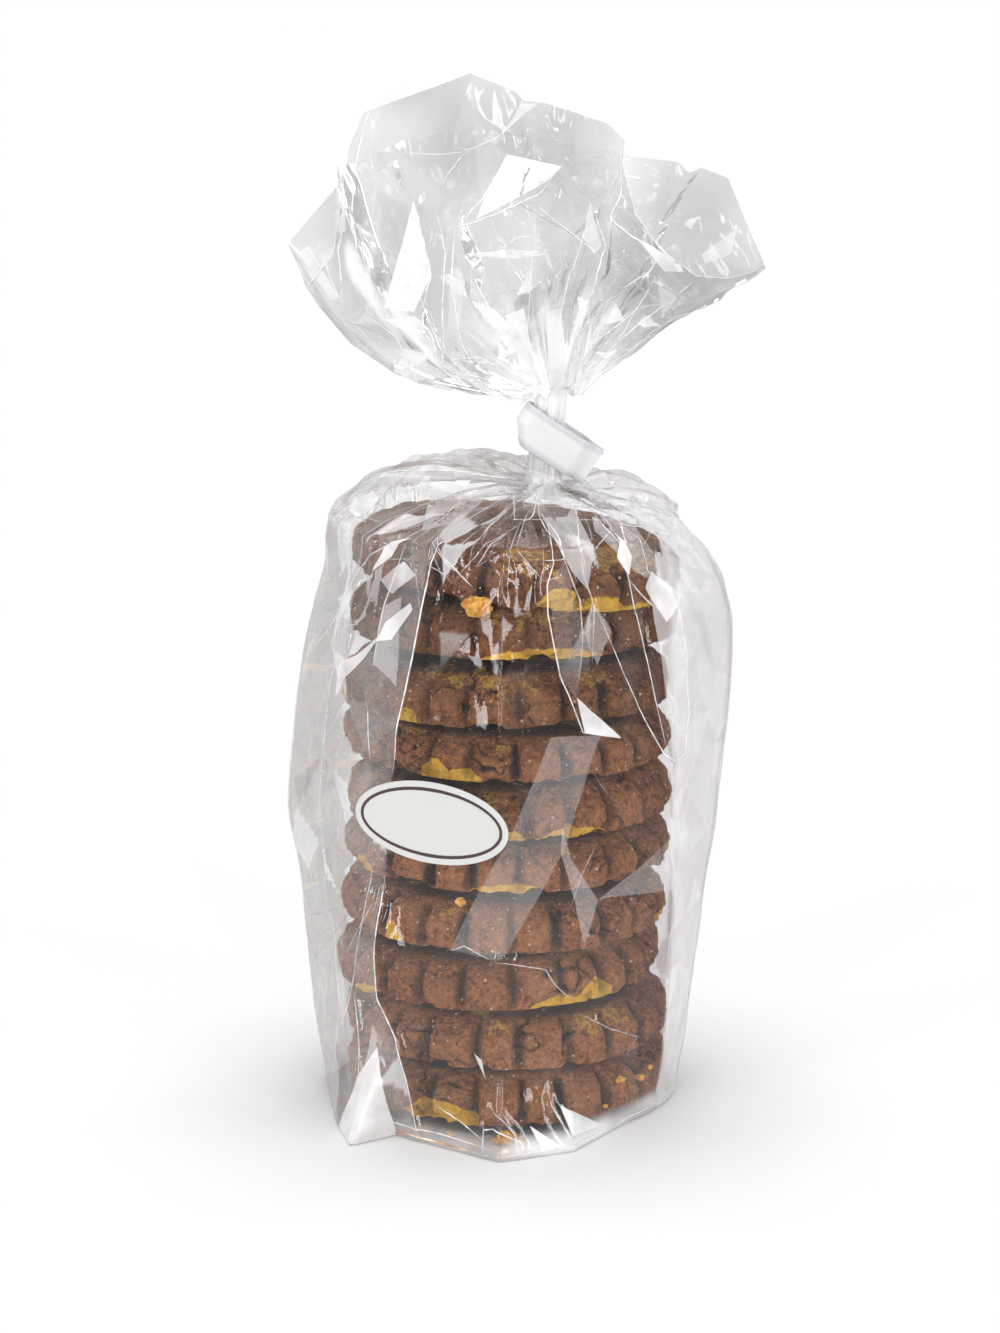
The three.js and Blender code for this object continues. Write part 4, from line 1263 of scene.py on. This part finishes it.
def band_section():
    """The strip's cross-section, with a rounded rib over the wire in each edge: (offset across its thickness,
    place along its width, how much greyer it is towards each edge)."""
    half = BAND_WIDTH / 2
    section = []
    for z in np.linspace(-half, half, 41):
        rib = math.exp(-(((abs(z) - (half - WIRE_INSET)) / RIB_HALF) ** 2))
        past_edge = max(0.0, (abs(z) - (half - EDGE_ROUNDING)) / EDGE_ROUNDING)
        edge = math.sqrt(max(0.0, 1 - past_edge**2))
        grey = float(smooth(abs(z), half - 2.0, half - 0.8))
        section.append((0.5 * BAND_THICKNESS * ((1 - RIB_SHARE) * edge + RIB_SHARE * rib), z, grey))
    return np.array(section + [(-o, z, grey) for o, z, grey in section[::-1][1:-1]])


def on_neck(points):
    """Points of the band in its own frame, tilted and moved to the neck."""
    return turned(points, (Z, X), BAND_TILT) + BAND_CENTRE


def build_band(material, wire):
    path = band_path()
    offset, z, grey = (column[None, :] for column in band_section().T)
    tangent = np.gradient(path, axis=0)
    tangent /= np.linalg.norm(tangent, axis=1, keepdims=True)
    x, y = path[:, :1] + tangent[:, 1:] * offset, path[:, 1:] - tangent[:, :1] * offset
    pinched = (x < 0) & (z < 0)
    x = np.where(pinched, x * (1 + BAND_SLANT * z / (BAND_WIDTH / 2)), x)
    grid = joined(x, y, z)
    grid[..., Y] += 0.12 * noise(grid, 3.0, 21) * smooth(np.abs(grid[..., X]), 3, 8)
    count, around = grid.shape[:2]
    caps = [list(range(around))[::-1], [(count - 1) * around + i for i in range(around)]]
    faces, rib = tube_faces(count, around) + caps, np.broadcast_to(grey, (count, around))
    make_object("clip_strip", on_neck(grid), faces, material, "clip_band", "band", rib=rib)
    # the ends of the two wires, at the open end of the strip
    half, leaf, inset = BAND_LENGTH / 2, BAND_THICKNESS / 2 + LEAF_GAP, BAND_WIDTH / 2 - WIRE_INSET
    rings = [(half - 0.6, WIRE_RADIUS), (half + 0.12, WIRE_RADIUS), (half + 0.2, 0.1), (half + 0.2, 0.001)]
    turn = radians(np.arange(12) * 30)
    for k, z in enumerate((inset, -inset)):
        end = np.array([joined(x, size * np.cos(turn) - leaf, size * np.sin(turn) + z) for x, size in rings])
        make_object(f"clip_wire_{k + 1}", on_neck(end), tube_faces(*end.shape[:2]), wire, "clip_band", "band")


LABEL_WIDTH, LABEL_HEIGHT, LABEL_THICKNESS, LABEL_GAP = 38, 18, 0.3, 0.5
LABEL_SIDEWAYS, LABEL_Z = 4.8, 71.5
LABEL_COLUMNS = 288
RING_INSET, RING_HALF = 1.7, 0.38


def build_label(material):
    a = radians(np.arange(LABEL_COLUMNS) * 360 / LABEL_COLUMNS)
    half_x, half_z = LABEL_WIDTH / 2, LABEL_HEIGHT / 2
    share = stations(0, (0.76, 11), (1, 49))[:, None]
    x, z = share * half_x * np.cos(a), share * half_z * np.sin(a)
    wave = 0.10 * noise(joined(x, z, 0.0), 9.0, 31) * (1 - share)
    y = -(FACE_DISTANCE + LABEL_GAP + LABEL_THICKNESS + wave)
    sheet = joined(x + LABEL_SIDEWAYS, y, z + LABEL_Z)
    back = sheet[-1:] + np.array([0, LABEL_THICKNESS, 0])
    middle = back * np.array([0, 1, 0]) + np.array([LABEL_SIDEWAYS, 0, LABEL_Z])
    grid = turned(np.concatenate([sheet, back, middle]), (X, Y), FACE_NORMAL + 90)
    inset = (1 - share) / np.hypot(np.cos(a) / half_x, np.sin(a) / half_z)
    ring = np.pad(np.abs(inset - RING_INSET) < RING_HALF, ((0, 2), (0, 0)))
    faces = tube_faces(len(grid), LABEL_COLUMNS)
    make_object("label_paper", grid, faces, material, "label", "label", ring=ring)


# ------------------------------------------------------------------ build

film = film_material("clear_film", 0.975, 0.9, 0.055, 228)
fan = film_material("fan_film", 0.95, 0.60, 0.09, 241)
# painted highlights on the creases
crease = crease_material("film_crease_highlight", 420, 0.45, 0.3, 236)
# painted reflections on the flats
flat = crease_material("film_flat_reflection", 110, 0.72, 0.12, 240)
build_cookies(cookie_material())
build_crumbs(crumb_material())
build_bag_film(film, crease, flat, seam_reflection_material())
build_fan_film(fan, crease, flat)
build_band(band_material(), wire_material())
build_label(paper_material())

# ------------------------------------------------------------------ floor, light and camera, in metres

FLOOR_DROP = 0.0002  # so that the floor and the bag's base don't lie in one plane
floor_mesh = bpy.data.meshes.new("floor")
floor_mesh.from_pydata([(-12, -4, 0), (12, -4, 0), (12, 20, 0), (-12, 20, 0)], [], [(0, 1, 2, 3)])
floor_mesh.materials.append(floor_material())
floor = bpy.data.objects.new("floor", floor_mesh)
floor.location.z = -FLOOR_DROP
bpy.context.scene.collection.objects.link(floor)

light = bpy.data.lights.new("overhead", "SUN")
light.energy, light.angle = 3.35, math.radians(46)
lamp = bpy.data.objects.new("overhead", light)
lamp.rotation_euler = Vector((0.0, 0.07, 1.0)).to_track_quat("Z", "Y").to_euler()
bpy.context.scene.collection.objects.link(lamp)

# Strip lights all round: turn from straight behind the camera, half width, middle, half height, brightness.
SOFTBOXES = [
    (-78, 4, 0.15, 0.15, 13), (-48, 4, 0.15, 0.15, 20), (-27, 2.5, 0.15, 0.15, 19), (-8, 2, 0.15, 0.15, 19),
    (15, 2.5, 0.15, 0.15, 19), (36, 3.5, 0.15, 0.15, 19), (58, 3, 0.15, 0.15, 16), (84, 4, 0.15, 0.15, 12),
    (130, 10, 0.4, 0.3, 1.5), (-135, 10, 0.4, 0.3, 1.5),
]
DIMMEST, BRIGHTEST = 0.06, 0.18


def studio():
    """A white studio that is dimmer behind the camera, so that the film has something to show up against."""
    n = Nodes(bpy.data.worlds.new("studio"))
    way = n.add("ShaderNodeSeparateXYZ", {0: n.where["Generated"]}).outputs
    limits = {"Value": way["Y"], "From Min": -0.9, "From Max": 0.3, "To Min": DIMMEST, "To Max": BRIGHTEST}
    strength = n.add("ShaderNodeMapRange", limits, interpolation_type="SMOOTHSTEP").outputs[0]
    turn = n.math("ARCTAN2", way["X"], n.math("MULTIPLY", way["Y"], -1.0))
    for at, half, middle, tall, bright in SOFTBOXES:
        beside = n.math("COMPARE", turn, math.radians(at), math.radians(half))
        inside = n.math("MULTIPLY", beside, n.math("COMPARE", way["Z"], middle, tall))
        strength = n.math("MULTIPLY_ADD", inside, bright, strength)
    background = n.add("ShaderNodeBackground", {"Color": WHITE, "Strength": strength}).outputs[0]
    n.add("ShaderNodeOutputWorld", {"Surface": background})
    return n.owner


bpy.context.scene.world = studio()
bpy.context.scene.view_settings.view_transform = "Standard"

LENS, SENSOR, LOOKS_DOWN = 97.8, 36, 13.45
camera_data = bpy.data.cameras.new("camera")
camera_data.lens, camera_data.sensor_width = LENS, SENSOR
camera_data.clip_start, camera_data.clip_end = 0.05, 60
camera = bpy.data.objects.new("camera", camera_data)
camera.location = EYE * MM
camera.rotation_euler = (math.radians(90 - LOOKS_DOWN), 0, 0)
bpy.context.scene.collection.objects.link(camera)
bpy.context.scene.camera = camera
